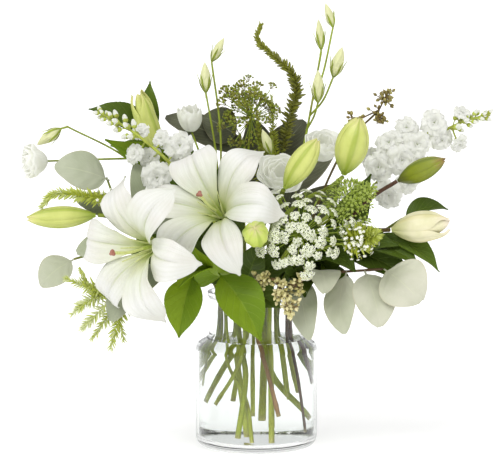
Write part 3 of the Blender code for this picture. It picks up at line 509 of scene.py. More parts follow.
def soft_petal_material(name, foot, body, edge, translucent, painted_glow):
    """Matte filler petals; the painted glow is an emission that brightens petals lying in shade, painted
    light that stands for the light that many thin petals pass on.
    """
    n = Nodes(name)
    colour = n.ramp("along", [(0.0, *foot), (0.30, *body), (0.85, *body), (1.0, *edge)])
    colour = n.mottle(colour, n.noise(160.0, 4.0), 0.3, 0.75, (0.95, 0.955, 0.93))
    n.bump(n.plus(n.times(n.lines(40.0), 0.4), n.noise(500.0, 2.0)), 0.3, 0.0005)
    return n.finish(colour, n.uneven(200.0, 0.15, 0.50), translucent=translucent,
                    Emission_Color=(0.95, 0.97, 0.93, 1), Emission_Strength=painted_glow)


def speck_material(name, stops, rough=0.4):
    """Small buds, seeds and florets, coloured by their tone."""
    n = Nodes(name)
    colour = n.mottle(n.ramp("tone", stops), n.noise(300.0, 3.0), 0.3, 0.75, (0.78, 0.80, 0.66))
    n.bump(n.noise(1200.0, 2.0), 0.3, 0.0003)
    return n.finish(colour, n.uneven(400.0, 0.2, rough))


def glass_material():
    n = Nodes("clear_glass")
    tint = n.mix(n.noise(6.0, 2.0), (0.965, 0.985, 0.98), (0.985, 0.995, 0.99))
    # painted shade: the tint turns grey where the wall is seen edge on, standing for the dark edge lines
    # that refraction gives
    tint = n.mix(n.between(n.edge_on(0.5), 0.60, 1.0), tint, (0.44, 0.49, 0.46))
    n.bump(n.noise(9.0, 1.0), 0.01, 0.004)
    return n.finish(tint, n.times(n.noise(40.0), 0.012), Transmission_Weight=1.0, IOR=1.45,
                    Specular_Tint=(0.45, 0.45, 0.45, 1))


def water_material():
    n = Nodes("water")
    tint = n.mix(n.noise(8.0, 2.0), (0.975, 0.985, 0.975), (0.99, 0.995, 0.985))
    n.bump(n.noise(14.0, 1.0), 0.008, 0.004)
    return n.finish(tint, n.times(n.noise(30.0), 0.01), Transmission_Weight=1.0, IOR=1.333,
                    Specular_Tint=(0.2, 0.2, 0.2, 1))


PETAL = petal_material()
PISTIL = pistil_material()
STEM = stem_material()
SALAL = salal_material()
EUCALYPTUS = eucalyptus_material()
BUD = bud_material("lily_bud", (0.32, 0.43, 0.04), (0.58, 0.62, 0.17), (0.66, 0.62, 0.26),
                   (0.29, 0.38, 0.02))
BUD_CREAM = bud_material("lily_bud_cream", (0.50, 0.52, 0.20), (0.74, 0.70, 0.47), (0.80, 0.70, 0.56),
                         (0.62, 0.56, 0.28))
BUD_FRESH = bud_material("lily_bud_fresh", (0.34, 0.46, 0.04), (0.56, 0.66, 0.12), (0.60, 0.56, 0.26),
                         (0.28, 0.40, 0.02))
BUD_DARK = bud_material("lily_bud_dark", (0.08, 0.08, 0.008), (0.22, 0.26, 0.008), (0.26, 0.16, 0.04),
                        (0.10, 0.14, 0.005))
# the last number of each soft petal material is its glow: painted light, an emission that brightens the
# white petals lying in shade
LISIANTHUS = soft_petal_material("lisianthus_flower", (0.50, 0.60, 0.28), (0.93, 0.93, 0.89),
                                 (0.95, 0.95, 0.93), 0.50, 0.10)
LISIANTHUS_BUD = soft_petal_material("lisianthus_bud", (0.28, 0.40, 0.10), (0.74, 0.75, 0.42),
                                     (0.88, 0.86, 0.66), 0.10, 0.0)
STOCK = soft_petal_material("stock_floret", (0.42, 0.56, 0.08), (0.92, 0.92, 0.89), (0.94, 0.94, 0.93),
                            0.45, 0.045)
LOOSESTRIFE = speck_material("loosestrife", [
    (0.0, 0.10, 0.095, 0.012), (0.4, 0.27, 0.29, 0.02), (0.7, 0.44, 0.50, 0.04),
    (0.88, 0.58, 0.64, 0.20), (1.0, 0.90, 0.90, 0.84)])
AMMI = speck_material("ammi", [
    (0.0, 0.24, 0.22, 0.03), (0.35, 0.27, 0.36, 0.02), (0.6, 0.46, 0.56, 0.12),
    (0.8, 0.80, 0.82, 0.64), (1.0, 0.94, 0.94, 0.88)])
SEEDS = speck_material("eucalyptus_seed", [
    (0.0, 0.13, 0.06, 0.025), (0.3, 0.22, 0.17, 0.04), (0.6, 0.48, 0.43, 0.14),
    (1.0, 0.80, 0.72, 0.42)], rough=0.35)


# ---------------- vase and water
def wall_outline(inset, top):
    """Neck and shoulder of the wall, as (radius, height, fillet) corners."""
    return [
        (NECK_RADIUS - inset, top, 0),
        (NECK_RADIUS - inset, SHOULDER_TOP - 0.4 * inset, SHOULDER_FILLET),
        (BODY_RADIUS - inset, SHOULDER_BOTTOM - 0.6 * inset, SHOULDER_FILLET),
    ]


def rounded(corners, arc_points=8):
    """A profile through (radius, height, fillet) corners, each fillet a short arc."""
    outline = []
    for i, (r, z, fillet) in enumerate(corners):
        here = Vector((r, z))
        if fillet == 0 or i in (0, len(corners) - 1):
            outline.append((r, z))
            continue
        before = (Vector(corners[i - 1][:2]) - here).normalized()
        after = (Vector(corners[i + 1][:2]) - here).normalized()
        half = before.angle(after) / 2
        reach = fillet / math.tan(half)
        centre = here + (before + after).normalized() * fillet / math.sin(half)
        start = here + before * reach - centre
        end = here + after * reach - centre
        turn = start.angle_signed(end)
        for k in range(arc_points + 1):
            offset = start.copy()
            offset.rotate(Matrix.Rotation(-turn * k / arc_points, 2))
            outline.append(tuple(centre + offset))
    return outline


def lathe(name, profile, material, slot, node, steps=144):
    """A glassy piece of revolution; its profile starts and ends on the axis."""
    angles = np.arange(steps) / steps * TURN
    rings = [np.stack([r * cos(angles), r * sin(angles), np.full(steps, z)], 1)
             for r, z in profile[-2:0:-1]]
    shape = Shape()
    shape.lathe_rings(rings, (0, 0, profile[-1][1]), (0, 0, profile[0][1]))
    piece = shape.build(name, material, slot, node, crease=40)
    piece.visible_shadow = False


def make_vase():
    outer = [
        (RIM_RADIUS - 0.0032, VASE_HEIGHT, 0),
        (RIM_RADIUS, VASE_HEIGHT, RIM_ROUND),
        (RIM_RADIUS, VASE_HEIGHT - 0.0045, RIM_ROUND),
        (NECK_RADIUS, VASE_HEIGHT - 0.0065, 0.001),
        *wall_outline(0.0, VASE_HEIGHT)[1:],
        (BODY_RADIUS, 0.0, HEEL_FILLET),
        (0.0, 0.0, 0),
    ]
    inner = [
        *wall_outline(WALL, VASE_HEIGHT - 0.0008),
        (BODY_RADIUS - WALL, BASE_THICKNESS, HEEL_FILLET - 0.002),
        (0.0, BASE_THICKNESS, 0),
    ]
    profile = rounded(inner)[::-1] + rounded(outer)
    lathe("jar_vase", profile, glass_material(), "clear_glass", "glass_vase")
    inset = WALL + WATER_GAP
    floor = BASE_THICKNESS + WATER_GAP
    surface = [
        (0.0, WATER_LEVEL, 0),
        (NECK_RADIUS - 0.0045, WATER_LEVEL, 0),
        (NECK_RADIUS - 0.0012, WATER_LEVEL + 0.4 * MENISCUS, 0),
        (NECK_RADIUS - inset + 0.0025, WATER_LEVEL + MENISCUS, 0),
        (BODY_RADIUS - inset - 0.0004, SHOULDER_BOTTOM - 0.6 * inset - 0.0008, 0.006),
        (BODY_RADIUS - inset, floor, HEEL_FILLET - 0.002),
        (0.0, floor, 0),
    ]
    lathe("water", rounded(surface), water_material(), "water", "vase_water")


# ---------------- stems
def stem_tube(shape, points, radius, end_radius, tone, per_span=8, joints=0.0):
    """A stem with a little unevenness and, where joints is set, thicker nodes along it."""
    route = smooth_route(points, per_span)
    share = np.linspace(0, 1, len(route))
    radii = radius + (end_radius - radius) * share
    length = np.linalg.norm(np.diff(route, axis=0), axis=1).sum()
    wave = 0.03 * sin(share * length * 300) + 0.02 * sin(share * length * 710 + 1)
    if joints:
        phase = (share * length / joints + 0.3) % 1.0
        wave = wave + 0.22 * exp(-((phase - 0.5) / 0.06) ** 2)
    shape.tube(route, radii * (1 + wave), STEM_SIDES, tone=tone)


def main_stem(name, joints=0.0):
    """A branch's main stem; where it stands in the water a green one is paler and fresher."""
    shape = Shape()
    radius, end_radius, tone, points = STALKS[name]
    points = mm(points)
    heights = smooth_route(points, 8)[:, 2]
    fresh = 0.32 * (1 - ease(WATER_LEVEL, WATER_LEVEL + 0.03, heights)) * (tone >= 0.4)
    tones = np.repeat(np.minimum(tone + fresh, 1.0), STEM_SIDES)
    tones = np.append(tones, [tones[0], tones[-1]])
    stem_tube(shape, points, mm(radius), mm(end_radius), tones, joints=joints)
    return shape


BUD_BRANCHES = {
    "lily_stalk_left": [
        [(-70, -84, 205), (-105, -78, 226), (-135, -62, 246), (-162, -60, 249)],
    ],
    "lily_stalk_top": [
        [(-13, -20, 178), (-20, 22, 228), (-62, 27, 266), (-100.6, 20.2, 300.2)],
    ],
    "lily_stalk_centre": [
        [(15.5, -48, 235), (45, -52, 262), (72, -60, 276), (87.8, -69.9, 289.2)],
        [(13.5, -38, 222), (10, -72, 222), (3, -104, 222), (0.1, -127.3, 229.7)],
    ],
    "lily_stalk_right": [
        [(85, -26, 228), (108, -48, 232), (135.2, -69.9, 234.9)],
    ],
}


def make_lily_stalks():
    for name, branches in BUD_BRANCHES.items():
        shape = main_stem(name)
        tone = STALKS[name][2]
        for branch in branches:
            stem_tube(shape, mm(branch), SIDE_STALK, SIDE_STALK, tone + 0.05)
        shape.build(f"{name}_stem", STEM, "lily_stalk", name)


# ---------------- open lilies
# centre, facing, angle of the first petal in degrees
BLOOMS = {
    "lily_left": ((-102, -124, 224), (-0.69, -0.72, -0.02), 83),
    "lily_top": ((-35, -90, 251), (-0.38, -0.8, 0.47), 31),
}
# half width, how far the tip curls back, ruffle phase; one row for each petal of each bloom
PETAL_FORMS = {
    "lily_left": [(22.5, 30, 0.3), (21.5, 12, 1.7), (24.5, 14, 2.9),
                  (21.5, 20, 4.1), (24, 10, 5), (20, 18, 0.9)],
    "lily_top": [(25.5, 30, 0.8), (19.5, 16, 2.2), (23, 24, 3.4),
                 (20, 18, 4.6), (22.5, 28, 5.6), (20, 14, 1.2)],
}


def tepal_outline(s):
    """Half width along a tepal: a narrow claw, widest past the middle, and a rounded end."""
    u = clip(0.05 + 0.93 * s, 0, 1) ** 1.12
    swell = sin(pi * u)
    outline = np.where(u < 0.5, swell ** 1.25, swell ** 0.68)
    rounded_end = np.sqrt(clip((1.0 - s) / 0.05, 0, 1))
    return np.maximum(outline * (0.10 + 0.90 * rounded_end), 0.05)


def tepal_place(bloom, number):
    centre, facing, first = BLOOMS[bloom]
    half_width, curl, phase = PETAL_FORMS[bloom][number]
    half_width, curl = mm(half_width), mm(curl)
    inner = number % 2 == 0
    rise = 0.0030 if inner else 0.0
    cup = 0.16 if inner else -0.05
    turn = aim(facing) @ spin(math.radians(first + 60 * number))

    def place(s, t):
        across = t * half_width * tepal_outline(s)
        out = THROAT_RADIUS + TEPAL_REACH * s
        point = exp(-(across / 0.0022) ** 2) * ease(0.93, 1.0, s)
        level = np.minimum((np.hypot(out, across) - THROAT_RADIUS) / TEPAL_REACH, 1.12)
        height = FUNNEL_HEIGHT * sin(0.78 * pi * np.maximum(level, 0) ** 0.85)
        height = height + rise * np.minimum(1.0, 12 * s) + cup * across ** 2 / half_width
        back = ease(0.62, 1.0, s)
        height = height - curl * back ** 2 * 0.55 - 0.0025 * point
        out = out - curl * back ** 2 * 0.30 + 0.0020 * point
        groove = exp(-(across / GROOVE_WIDTH) ** 2) * (1 - ease(0.75, 1.0, s)) * ease(0.02, 0.2, s)
        ridge = exp(-((np.abs(across) - RIDGE_PLACE) / RIDGE_WIDTH) ** 2) * (1 - ease(0.4, 0.9, s))
        height = height - 0.0022 * groove + 0.0014 * ridge
        ruffle = np.abs(t) ** 3 * ease(0.15, 0.5, s) * (1 - 0.5 * ease(0.85, 1.0, s))
        height = height + RUFFLE_HEIGHT * ruffle * sin(8.5 * s + phase + 1.3 * np.sign(t))
        folds = ease(0.2, 0.6, s) * (1 - 0.6 * ease(0.8, 1.0, s))
        height = height + 0.0004 * sin(across * 430 + phase + 2.0 * s) * folds
        height = height + 0.0016 * sin(across * 135 + 2 * phase + 1.5 * s) * folds
        return np.stack([out, across, height], -1) @ turn.T + mm(centre)

    return place


def make_blooms():
    for bloom, (centre, facing, _) in BLOOMS.items():
        for number in range(6):
            shape = Shape()
            shape.sheet(tepal_place(bloom, number), along=56, across=32, thickness=TEPAL_THICKNESS)
            shape.build(f"{bloom}_tepal_{number + 1}", PETAL, "lily_petal", f"{bloom}_petal_{number + 1}")
        make_pistil(bloom, mm(centre), aim(facing))


def make_pistil(bloom, centre, turn):
    """Ribbed ovary, slender style with a three-lobed stigma, and the bare filaments round it."""
    shape = Shape()
    axis = turn[:, 2]
    start = centre - axis * 0.0012

    def ovary(t, angles):
        return 0.0024 * (1 + 0.12 * cos(3 * angles)) * sin(pi * (0.18 + 0.72 * t)) ** 0.5

    shape.turned(start, start + axis * 0.018, ovary, sides=18, kind=0.1)
    sag = turn[:, 0] * -0.002
    style = smooth_route([start + axis * 0.015, start + axis * 0.036 + sag, start + axis * STYLE_LENGTH], 8)
    shape.tube(style, np.linspace(0.0014, 0.0018, len(style)), 10, kind=0.5)

    def stigma(t, angles):
        return 0.0031 * (1 + 0.26 * cos(3 * angles)) * sin(pi * (0.16 + 0.68 * t)) ** 0.6

    shape.turned(style[-1] - axis * 0.0015, style[-1] + axis * 0.0030, stigma, rings=10, sides=24, kind=1.0)
    for k in range(6):
        side = turn @ spin(math.radians(60 * k + 25))
        foot = centre + side @ (0.0034, 0, 0.001)
        top = foot + side @ (0.30, 0.0, 1.0) * (0.030 + 0.003 * (k % 3))
        shape.tube(smooth_route([foot, (foot + top) / 2 + axis * 0.0015, top], 6),
                   np.linspace(0.0009, 0.0005, 13), 8, kind=0.55)
    shape.build(f"{bloom}_pistil_and_filaments", PISTIL, "lily_pistil", f"{bloom}_pistil")


# ---------------- lily buds
# foot, tip, radius, material, slot, how far the tepals part at the tip
LILY_BUDS = {
    "lily_bud_far_left": ((-163, -60, 249), (-234, -70, 247), 10.8, BUD, "lily_bud", 0),
    "lily_bud_upper_left": ((-101, 20, 301), (-125, 10, 370), 11.5, BUD, "lily_bud", 8),
    "lily_bud_small": ((0, -128, 230), (-2, -166, 248), 12.5, BUD_FRESH, "lily_bud", 0),
    "lily_bud_centre": ((27, -100, 279), (61, -102, 330), 12.5, BUD, "lily_bud", 0),
    "lily_bud_tall": ((88, -70, 290), (104, -80, 350), 16.8, BUD, "lily_bud", 0),
    "lily_bud_right": ((144, -50, 283), (190, -80, 308), 10.8, BUD_DARK, "lily_bud_dark", 0),
    "lily_bud_far_right": ((136, -70, 235), (196, -82, 244), 15.5, BUD_CREAM, "lily_bud", 4),
}


def bud_profile(t, widest=0.50, foot=0.75, tip=0.62):
    """Share of the widest radius at share t of a bud's length."""
    return (sin(pi / 2 * clip(t / widest, 0, 1)) ** foot
            * cos(pi / 2 * clip((t - widest) / (1 - widest), 0, 1)) ** tip)


def make_lily_bud(name, base, tip, radius, material, slot, parted):
    """Three outer tepals with a raised rib each, wrapped round the three inner ones."""
    shape = Shape()
    base, tip, radius, parted = mm(base), mm(tip), mm(radius), mm(parted)
    axis = unit(tip - base)
    base = base + axis * BUD_GAP
    length = np.linalg.norm(tip - base)
    turn = aim(axis, (0.2, -0.7, 0.7))
    lean = (0.7, 1.2, 0.45)

    def core(t, angles):
        flute = 1 + 0.05 * cos(3 * angles + pi)
        return np.maximum(radius * 0.90 * flute * bud_profile(t), 0.0016 * (1 - t))

    shape.turned(base, tip - axis * 0.02 * length, core, rings=26, sides=30, hint=turn[:, 0], kind=0.0)
    close, close_from = (0.86, 0.62) if parted else (0.45, 0.80)
    for k in range(3):
        def place(s, t):
            spread = math.radians(58) * (1 - close * ease(close_from, 1.0, s))
            angle = k * TURN / 3 + t * spread
            rib = exp(-(t / 0.16) ** 2)
            dent = exp(-((np.abs(t) - 0.34) / 0.14) ** 2)
            r = radius * bud_profile(clip(s, 0.02, 0.985)) * (0.965 + 0.085 * rib - 0.05 * dent)
            r = r + parted * lean[k] * ease(0.45, 1.0, s) ** 2 + 0.0004 - 0.0010 * np.abs(t) ** 6
            z = length * s * (1 - 0.03 * np.abs(t) ** 2 * ease(0.7, 1, s))
            return np.stack([r * cos(angle), r * sin(angle), z], -1) @ turn.T + base

        rib_marks = exp(-(np.linspace(-1, 1, 21) / 0.22) ** 2)
        shape.sheet(place, along=36, across=20, thickness=0.0007, kind=np.tile(rib_marks, 37 * 2))
    shape.build(f"{name}_tepals", material, slot, name)


def make_lily_buds():
    for name, spec in LILY_BUDS.items():
        make_lily_bud(name, *spec)


# ---------------- lisianthus
# route of each shoot, then the tip and radius of its bud, or None where it ends in an open flower
LISIANTHUS_SHOOTS = {
    "lisianthus_sprig_right": [
        ([(52.5, 23.6, 330), (60, 12, 345), (64, 2, 360)], (64, 0, 394), 6.2),
        ([(56, 24.3, 345), (70, 18, 362), (80, 10, 386)], (89, 0, 418), 6.6),
        ([(58.5, 25.2, 360), (70, 26, 390), (80, 20, 438)], (72, 18, 463), 4.4),
        ([(67, 29.6, 408), (68, 30, 414)], (65, 32, 446), 4.4),
    ],
    "lisianthus_sprig_left": [
        ([(-38, 14, 262), (-38, 22, 330), (-47, 22, 402)], (-34, 20, 427), 4.6),
        ([(-52, 10.5, 364), (-53, 10, 370)], (-54, 10, 402), 5.6),
        ([(-37, 14, 250), (-54, 26, 290), (-68, 31, 327)], None, 0),
    ],
    "lisianthus_sprig_far_left": [
        ([(-196, -8.7, 335.8), (-203, -10, 334)], (-228, -10, 317), 6),
        ([(-135, 0, 302), (-165, -10, 302), (-216, -19.8, 301)], None, 0),
    ],
    "lisianthus_sprig_centre": [
        ([(8, -6, 232), (34, 0, 276), (65.5, -22, 303)], None, 0),
        ([(7, -3, 226), (12, -6, 280), (15, -18, 308)], (6, -22, 334), 5),
    ],
}
# foot, facing, radius, depth, petals, openness
LISIANTHUS_BLOOMS = {
    "lisianthus_bloom_far_left": ((-216.8, -20.1, 301), (-0.8, -0.35, -0.02), 16.5, 26, 12, 0.95),
    "lisianthus_bloom_left": ((-68.4, 31, 328.5), (-0.1, -0.4, 0.9), 13, 28, 8, 0.25),
    "lisianthus_bloom_centre": ((24.2, -42.8, 281.2), (0.05, -0.8, 0.65), 21.5, 24, 13, 0.85),
    "lisianthus_bloom_right": ((66.3, -23, 304.2), (0.1, -0.5, 0.8), 19, 26, 11, 0.7),
}


def add_sepals(shape, base, axis, length, radius):
    """Narrow green sepals that hug a bud or a flower's foot."""
    for k in range(5):
        side = aim(axis) @ spin(k * TURN / 5 + 0.4)

        def place(s, t):
            half = 0.0011 * np.maximum(sin(pi * (0.15 + 0.83 * s)), 0.08)
            r = radius * sin(pi / 2 * clip(s * 1.6, 0, 1)) + 0.0008 + 0.0022 * ease(0.6, 1, s)
            return np.stack([r, t * half, length * s], -1) @ side.T + base

        shape.sheet(place, along=10, across=2, thickness=THIN_PETAL, tone=0.75)


def lisianthus_bud(shape, base, tip, radius):
    """A slim bud whose petals are rolled in a spiral."""
    def skin(t, angles):
        twist = (angles * 5 / TURN - 1.6 * t) % 1.0
        return radius * np.maximum(bud_profile(t, 0.40, 0.8, 0.8), 0.10) * (0.90 + 0.16 * twist)

    shape.turned(base, tip, skin, rings=28, sides=40)


def make_lisianthus():
    for name, shoots in LISIANTHUS_SHOOTS.items():
        green, buds = main_stem(name, joints=0.085), Shape()
        for points, bud_tip, bud_radius in shoots:
            stem_tube(green, mm(points), *SHOOT_RADII, STALKS[name][2] + 0.05)
            if bud_tip is not None:
                base, tip, radius = mm(points[-1]), mm(bud_tip), mm(bud_radius)
                lisianthus_bud(buds, base, tip, radius)
                add_sepals(green, base, tip - base, 0.62 * np.linalg.norm(tip - base), radius * 0.98)
        green.build(f"{name}_stem", STEM, "lisianthus_stalk", name)
        if buds.count:
            buds.build(f"{name}_buds", LISIANTHUS_BUD, "lisianthus_stalk", name)
    for index, (name, spec) in enumerate(LISIANTHUS_BLOOMS.items()):
        make_lisianthus_bloom(name, *spec, seed=20 + index)


def make_lisianthus_bloom(name, base, facing, radius, depth, petals, openness, seed):
    """Overlapping ruffled petals in a spiral round cup, tight in the middle and open outside."""
    rng = np.random.default_rng(seed)
    shape, foot = Shape(), Shape()
    base, radius, depth = mm(base), mm(radius), mm(depth)
    for k in range(petals):
        layer = (k + 1) / petals
        around = aim(facing) @ spin(k * GOLDEN_ANGLE + rng.uniform(-0.15, 0.15))
        reach = radius * (0.34 + 0.66 * layer ** 0.8)
        tall = depth * (1.0 - 0.22 * layer * openness + rng.uniform(-0.03, 0.03))
        sweep = math.radians(128 - 50 * openness * layer)
        lips = rng.uniform(0, TURN)

        def place(s, t):
            angle = t * (0.45 + 0.65 * ease(0.0, 0.5, s)) * (1.35 - 0.40 * layer)
            bend = sweep * s ** 0.9
            r = reach * sin(bend)
            z = tall * (1 - cos(bend)) / (1 - math.cos(sweep))
            wave = ease(0.55, 1.0, s)
            r = r + 0.24 * reach * openness * layer * wave ** 2
            r = r + 0.07 * reach * wave * sin(7 * t + lips)
            z = z - 0.16 * tall * np.abs(t) ** 2.5 * wave + 0.05 * tall * wave * sin(9 * t + 1.7 * lips)
            return np.stack([r * cos(angle), r * sin(angle), z], -1) @ around.T + base

        shape.sheet(place, along=20, across=20, thickness=THIN_PETAL)
    add_sepals(foot, base, facing, depth * 0.7, radius * 0.62)
    shape.build(f"{name}_petals", LISIANTHUS, "lisianthus_flower", name)
    foot.build(f"{name}_sepals", STEM, "lisianthus_stalk", name)


# ---------------- stock
# centre, radius and facing of each floret
STOCK_SITES = {
    "left": [
        ((-102, -48, 286), 17.5, (-1, -9, 1)), ((-79, -36, 318), 16.5, (1, -9, 3)),
        ((-98, -34, 326), 10.5, (-2, -8, 5)), ((-125, -44, 310), 11, (-4, -8, 2)),
        ((-120, -30, 332), 11, (-2, -6, 7)), ((-84, -28, 296), 13.5, (4, -8, 0)),
        ((-110, -28, 306), 13, (-3, -7, 4)), ((-82, -6, 300), 16, (4, 8, 3)),
        ((-106, -10, 306), 14, (-2, 8, 5))],
    "right": [
        ((137, -20, 266), 16.5, (-1, -9, -3)), ((157, -16, 278), 15, (3, -8, -3)),
        ((127, -14, 294), 17.5, (-4, -9, 1)), ((150, -22, 302), 16.5, (1, -9, 0)),
        ((138, -10, 319), 16.5, (-4, -8, 4)), ((166, -18, 318), 16.5, (1, -9, 2)),
        ((172, -12, 294), 13, (4, -8, -4)), ((156, -6, 334), 15, (-2, -8, 6)),
        ((184, -12, 340), 16, (1, -9, 3)), ((192, -10, 322), 13, (3, -8, -2)),
        ((210, -10, 318), 11.5, (4, -7, -5)), ((213, -6, 350), 10.5, (2, -6, 7)),
        ((140, 16, 300), 17, (1, 9, 1)), ((160, 14, 320), 16.5, (2, 8, 4)),
        ((122, 20, 300), 15, (-4, 8, 3)), ((184, 12, 330), 14, (5, 8, 2))],
}
# the bare upper stem of each spike, which carries the closed buds on short stalks
STOCK_TIPS = {
    "left": [(-88, -46, 300), (-114, -50, 324), (-137, -46, 340), (-158, -42, 351)],
    "right": [(168, -12, 322), (194, -10, 332), (218, -4, 342), (238, 0, 347)],
}


def double_floret(seed):
    """A loose double floret of unit radius that faces +Z."""
    rng = np.random.default_rng(seed)
    shape = Shape()
    whorls = ((5, 1.00, 0.10, 0.58), (4, 0.72, 0.50, 0.44), (3, 0.36, 0.90, 0.26))
    for row, (count, reach, lift, broad) in enumerate(whorls):
        for k in range(count):
            turn = spin(k * TURN / count + row * 0.6 + rng.uniform(-0.25, 0.25))
            size = reach * rng.uniform(0.85, 1.12)
            tilt = lift + rng.uniform(-0.20, 0.20)
            lips = rng.uniform(0, TURN, 3)

            def place(s, t):
                half = broad * sin(pi / 2 * clip(s * 1.2, 0, 1)) ** 1.6 + 0.04
                half = half * (1 - 0.55 * ease(0.75, 1.0, s) ** 2)
                notch = 1 - 0.14 * exp(-(t / 0.25) ** 2) * ease(0.7, 1, s)
                out = size * s * math.cos(tilt) * notch - 0.10 * size * t ** 2 * s
                high = size * s * math.sin(tilt) + 0.12 * size * sin(pi * s)
                wave = ease(0.3, 1.0, s)
                high = high + 0.11 * size * wave * sin(4.0 * t + lips[0])
                high = high + 0.05 * size * wave * sin(9 * t + lips[1]) - 0.16 * ease(0.6, 1, s) * size
                return np.stack([out, t * half, high], -1) @ turn.T

            shape.sheet(place, along=10, across=10, thickness=0.018)
    return shape


def make_stock():
    florets = [double_floret(seed) for seed in (1, 2, 3)]
    bud = Shape()
    bud.turned((0, 0, 0), (0, 0, 1), lambda t, a: 0.34 * sin(pi * (0.06 + 0.90 * t ** 0.8)) ** 0.7
               * (1 + 0.08 * cos(4 * a)), rings=9, sides=12)
    rng = np.random.default_rng(11)
    for side, sites in STOCK_SITES.items():
        name = f"stock_stem_{side}"
        stem = main_stem(name)
        core = smooth_route(mm([STALKS[name][3][-1], *STOCK_TIPS[side]]), 8)
        stem.tube(core, np.linspace(0.0021, 0.0009, len(core)), 10, tone=0.93)
        petals = Shape()
        for k, (centre, radius, facing) in enumerate(sites):
            centre, radius, way = mm(centre), mm(radius), unit(facing)
            petals.stamp(florets[k % 3], aim(way) @ spin(rng.uniform(0, TURN)), centre, radius)
            foot = centre - way * radius * 0.1
            middle = core[np.argmin(np.linalg.norm(core - foot, axis=1))]
            stalk = smooth_route([middle, (middle + foot) / 2 - way * 0.003, foot], 3)
            stem.tube(stalk, 0.0009, 6, tone=0.92)
            stem.turned(foot - way * 0.008, foot + way * 0.001, lambda t, a: 0.0022,
                        rings=4, sides=8, tone=0.85)
        upper = smooth_route(mm(STOCK_TIPS[side][1:]), 5)
        ways = np.gradient(upper, axis=0)
        for k in range(1, len(upper)):
            share = k / (len(upper) - 1)
            for turn in range(2):
                around = aim(ways[k]) @ spin(k * 1.7 + turn * 2.6)
                lean = unit(around @ (0.9, 0, 0.75 + 0.5 * share))
                size = 0.0095 * (1 - 0.38 * share) * rng.uniform(0.8, 1.15)
                spot = upper[k] + lean * (0.0085 - 0.004 * share)
                petals.stamp(bud, aim(lean), spot, size)
                stem.tube([upper[k], spot + lean * size * 0.2], 0.0006, 6, tone=0.92)
                stem.turned(spot - lean * 0.0012, spot + lean * size * 0.42,
                            lambda t, a: 0.36 * size * sin(pi * (0.15 + 0.55 * t)),
                            rings=5, sides=8, tone=0.95)
        petals.build(f"stock_petals_{side}", STOCK, "stock_floret", f"stock_florets_{side}")
        stem.build(f"{name}_stem", STEM, "stock_stalk", name)


# ---------------- loosestrife
# centre line, length and slimness of the buds, tone at the foot and tip, how many, how many open
LOOSESTRIFE_SPIKES = {
    "loosestrife_top": (
        [(27.5, 32.5, 306), (35, 31, 343), (42.5, 30, 370), (36, 30, 391), (16, 30, 409), (1.5, 30, 424),
         (4.5, 30, 440)], 10.5, 0.85, 0.12, 0.36, 290, 0),
    "loosestrife_left": (
        [(-132, -53, 259.6), (-170, -64, 268), (-204, -70, 272), (-219, -70, 259)],
        12, 0.6, 0.66, 0.9, 240, 60),
    "loosestrife_right": (
        [(94, -111.2, 227.6), (106, -126, 232), (118, -142, 238)], 18.5, 0.42, 0.62, 0.8, 340, 190),
    "loosestrife_low_left": (
        [(-140, -65.5, 172.8), (-166, -74, 172), (-180, -80, 196)], 7.5, 1.2, 0.8, 0.86, 150, 0),
}
# feathery side shoots: route, needle length, tone, how many needles
SIDE_SHOOTS = {
    "loosestrife_top": [
        ([(24, 34, 270), (6, 28, 310), (0, 26, 352)], 8, 0.42, 150),
        ([(25, 34, 275), (18, 26, 320), (16, 24, 366)], 8, 0.5, 150),
        ([(22, 34, 262), (-6, 30, 292), (-18, 28, 326)], 8, 0.34, 130),
    ],
    "loosestrife_low_left": [
        ([(-108, -56, 184), (-146, -68, 152), (-168, -74, 124)], 12.5, 0.8, 80),
        ([(-140, -65.5, 172.8), (-168, -74, 164), (-188, -78, 150)], 12, 0.84, 70),
        ([(-120, -60, 180), (-140, -68, 146), (-150, -70, 112)], 12.5, 0.76, 70),
        ([(-136, -64, 174), (-168, -78, 178), (-194, -82, 186)], 11.5, 0.78, 80),
        ([(-130, -62, 176), (-160, -76, 152), (-178, -80, 134)], 12.5, 0.88, 70),
        ([(-112, -58, 182), (-138, -74, 150), (-136, -78, 122)], 11.5, 0.72, 60),
    ],
}


def pointed_bud():
    """A tiny pointed bud of unit length that points along +Z."""
    shape = Shape()
    shape.turned((0, 0, 0), (0, 0, 1), lambda t, a: 0.17 * sin(pi * (0.05 + 0.93 * t ** 0.8)) ** 0.8,
                 rings=5, sides=6)
    return shape


def star_floret():
    """A tiny open floret of unit radius that faces +Z."""
    shape = Shape()
    for k in range(5):
        turn = spin(k * TURN / 5)

        def place(s, t):
            half = 0.30 * sin(pi * (0.10 + 0.80 * s))
            return np.stack([0.12 + 0.88 * s, t * half, 0.25 * sin(2.2 * s)], -1) @ turn.T

        shape.sheet(place, along=3, across=2, thickness=0.06)
    return shape


def clothe(shape, route, count, size, slim, tones, rng, bud):
    """Pointed buds in a spiral along a route, smaller and more upright towards its tip."""
    ways = np.gradient(route, axis=0)
    spots = []
    for k in range(count):
        share = (k + 0.5) / count
        at = share * (len(route) - 1)
        low = int(at)
        point = route[low] + (route[low + 1] - route[low]) * (at - low)
        young = share ** 1.3
        lean = aim(ways[low]) @ spin(k * GOLDEN_ANGLE) @ (1.0, rng.uniform(-0.45, 0.45), 0.30 + 1.4 * young)
        length = size * (1 - 0.55 * young) * rng.uniform(0.65, 1.25)
        tone = clip(tones[0] + (tones[1] - tones[0]) * share + rng.uniform(-0.10, 0.10), 0, 0.92)
        shape.stamp(bud, aim(lean) @ np.diag([slim, slim, 1.0]), point, length, tone=tone)
        spots.append((point + unit(lean) * length, aim(lean)))
    return spots


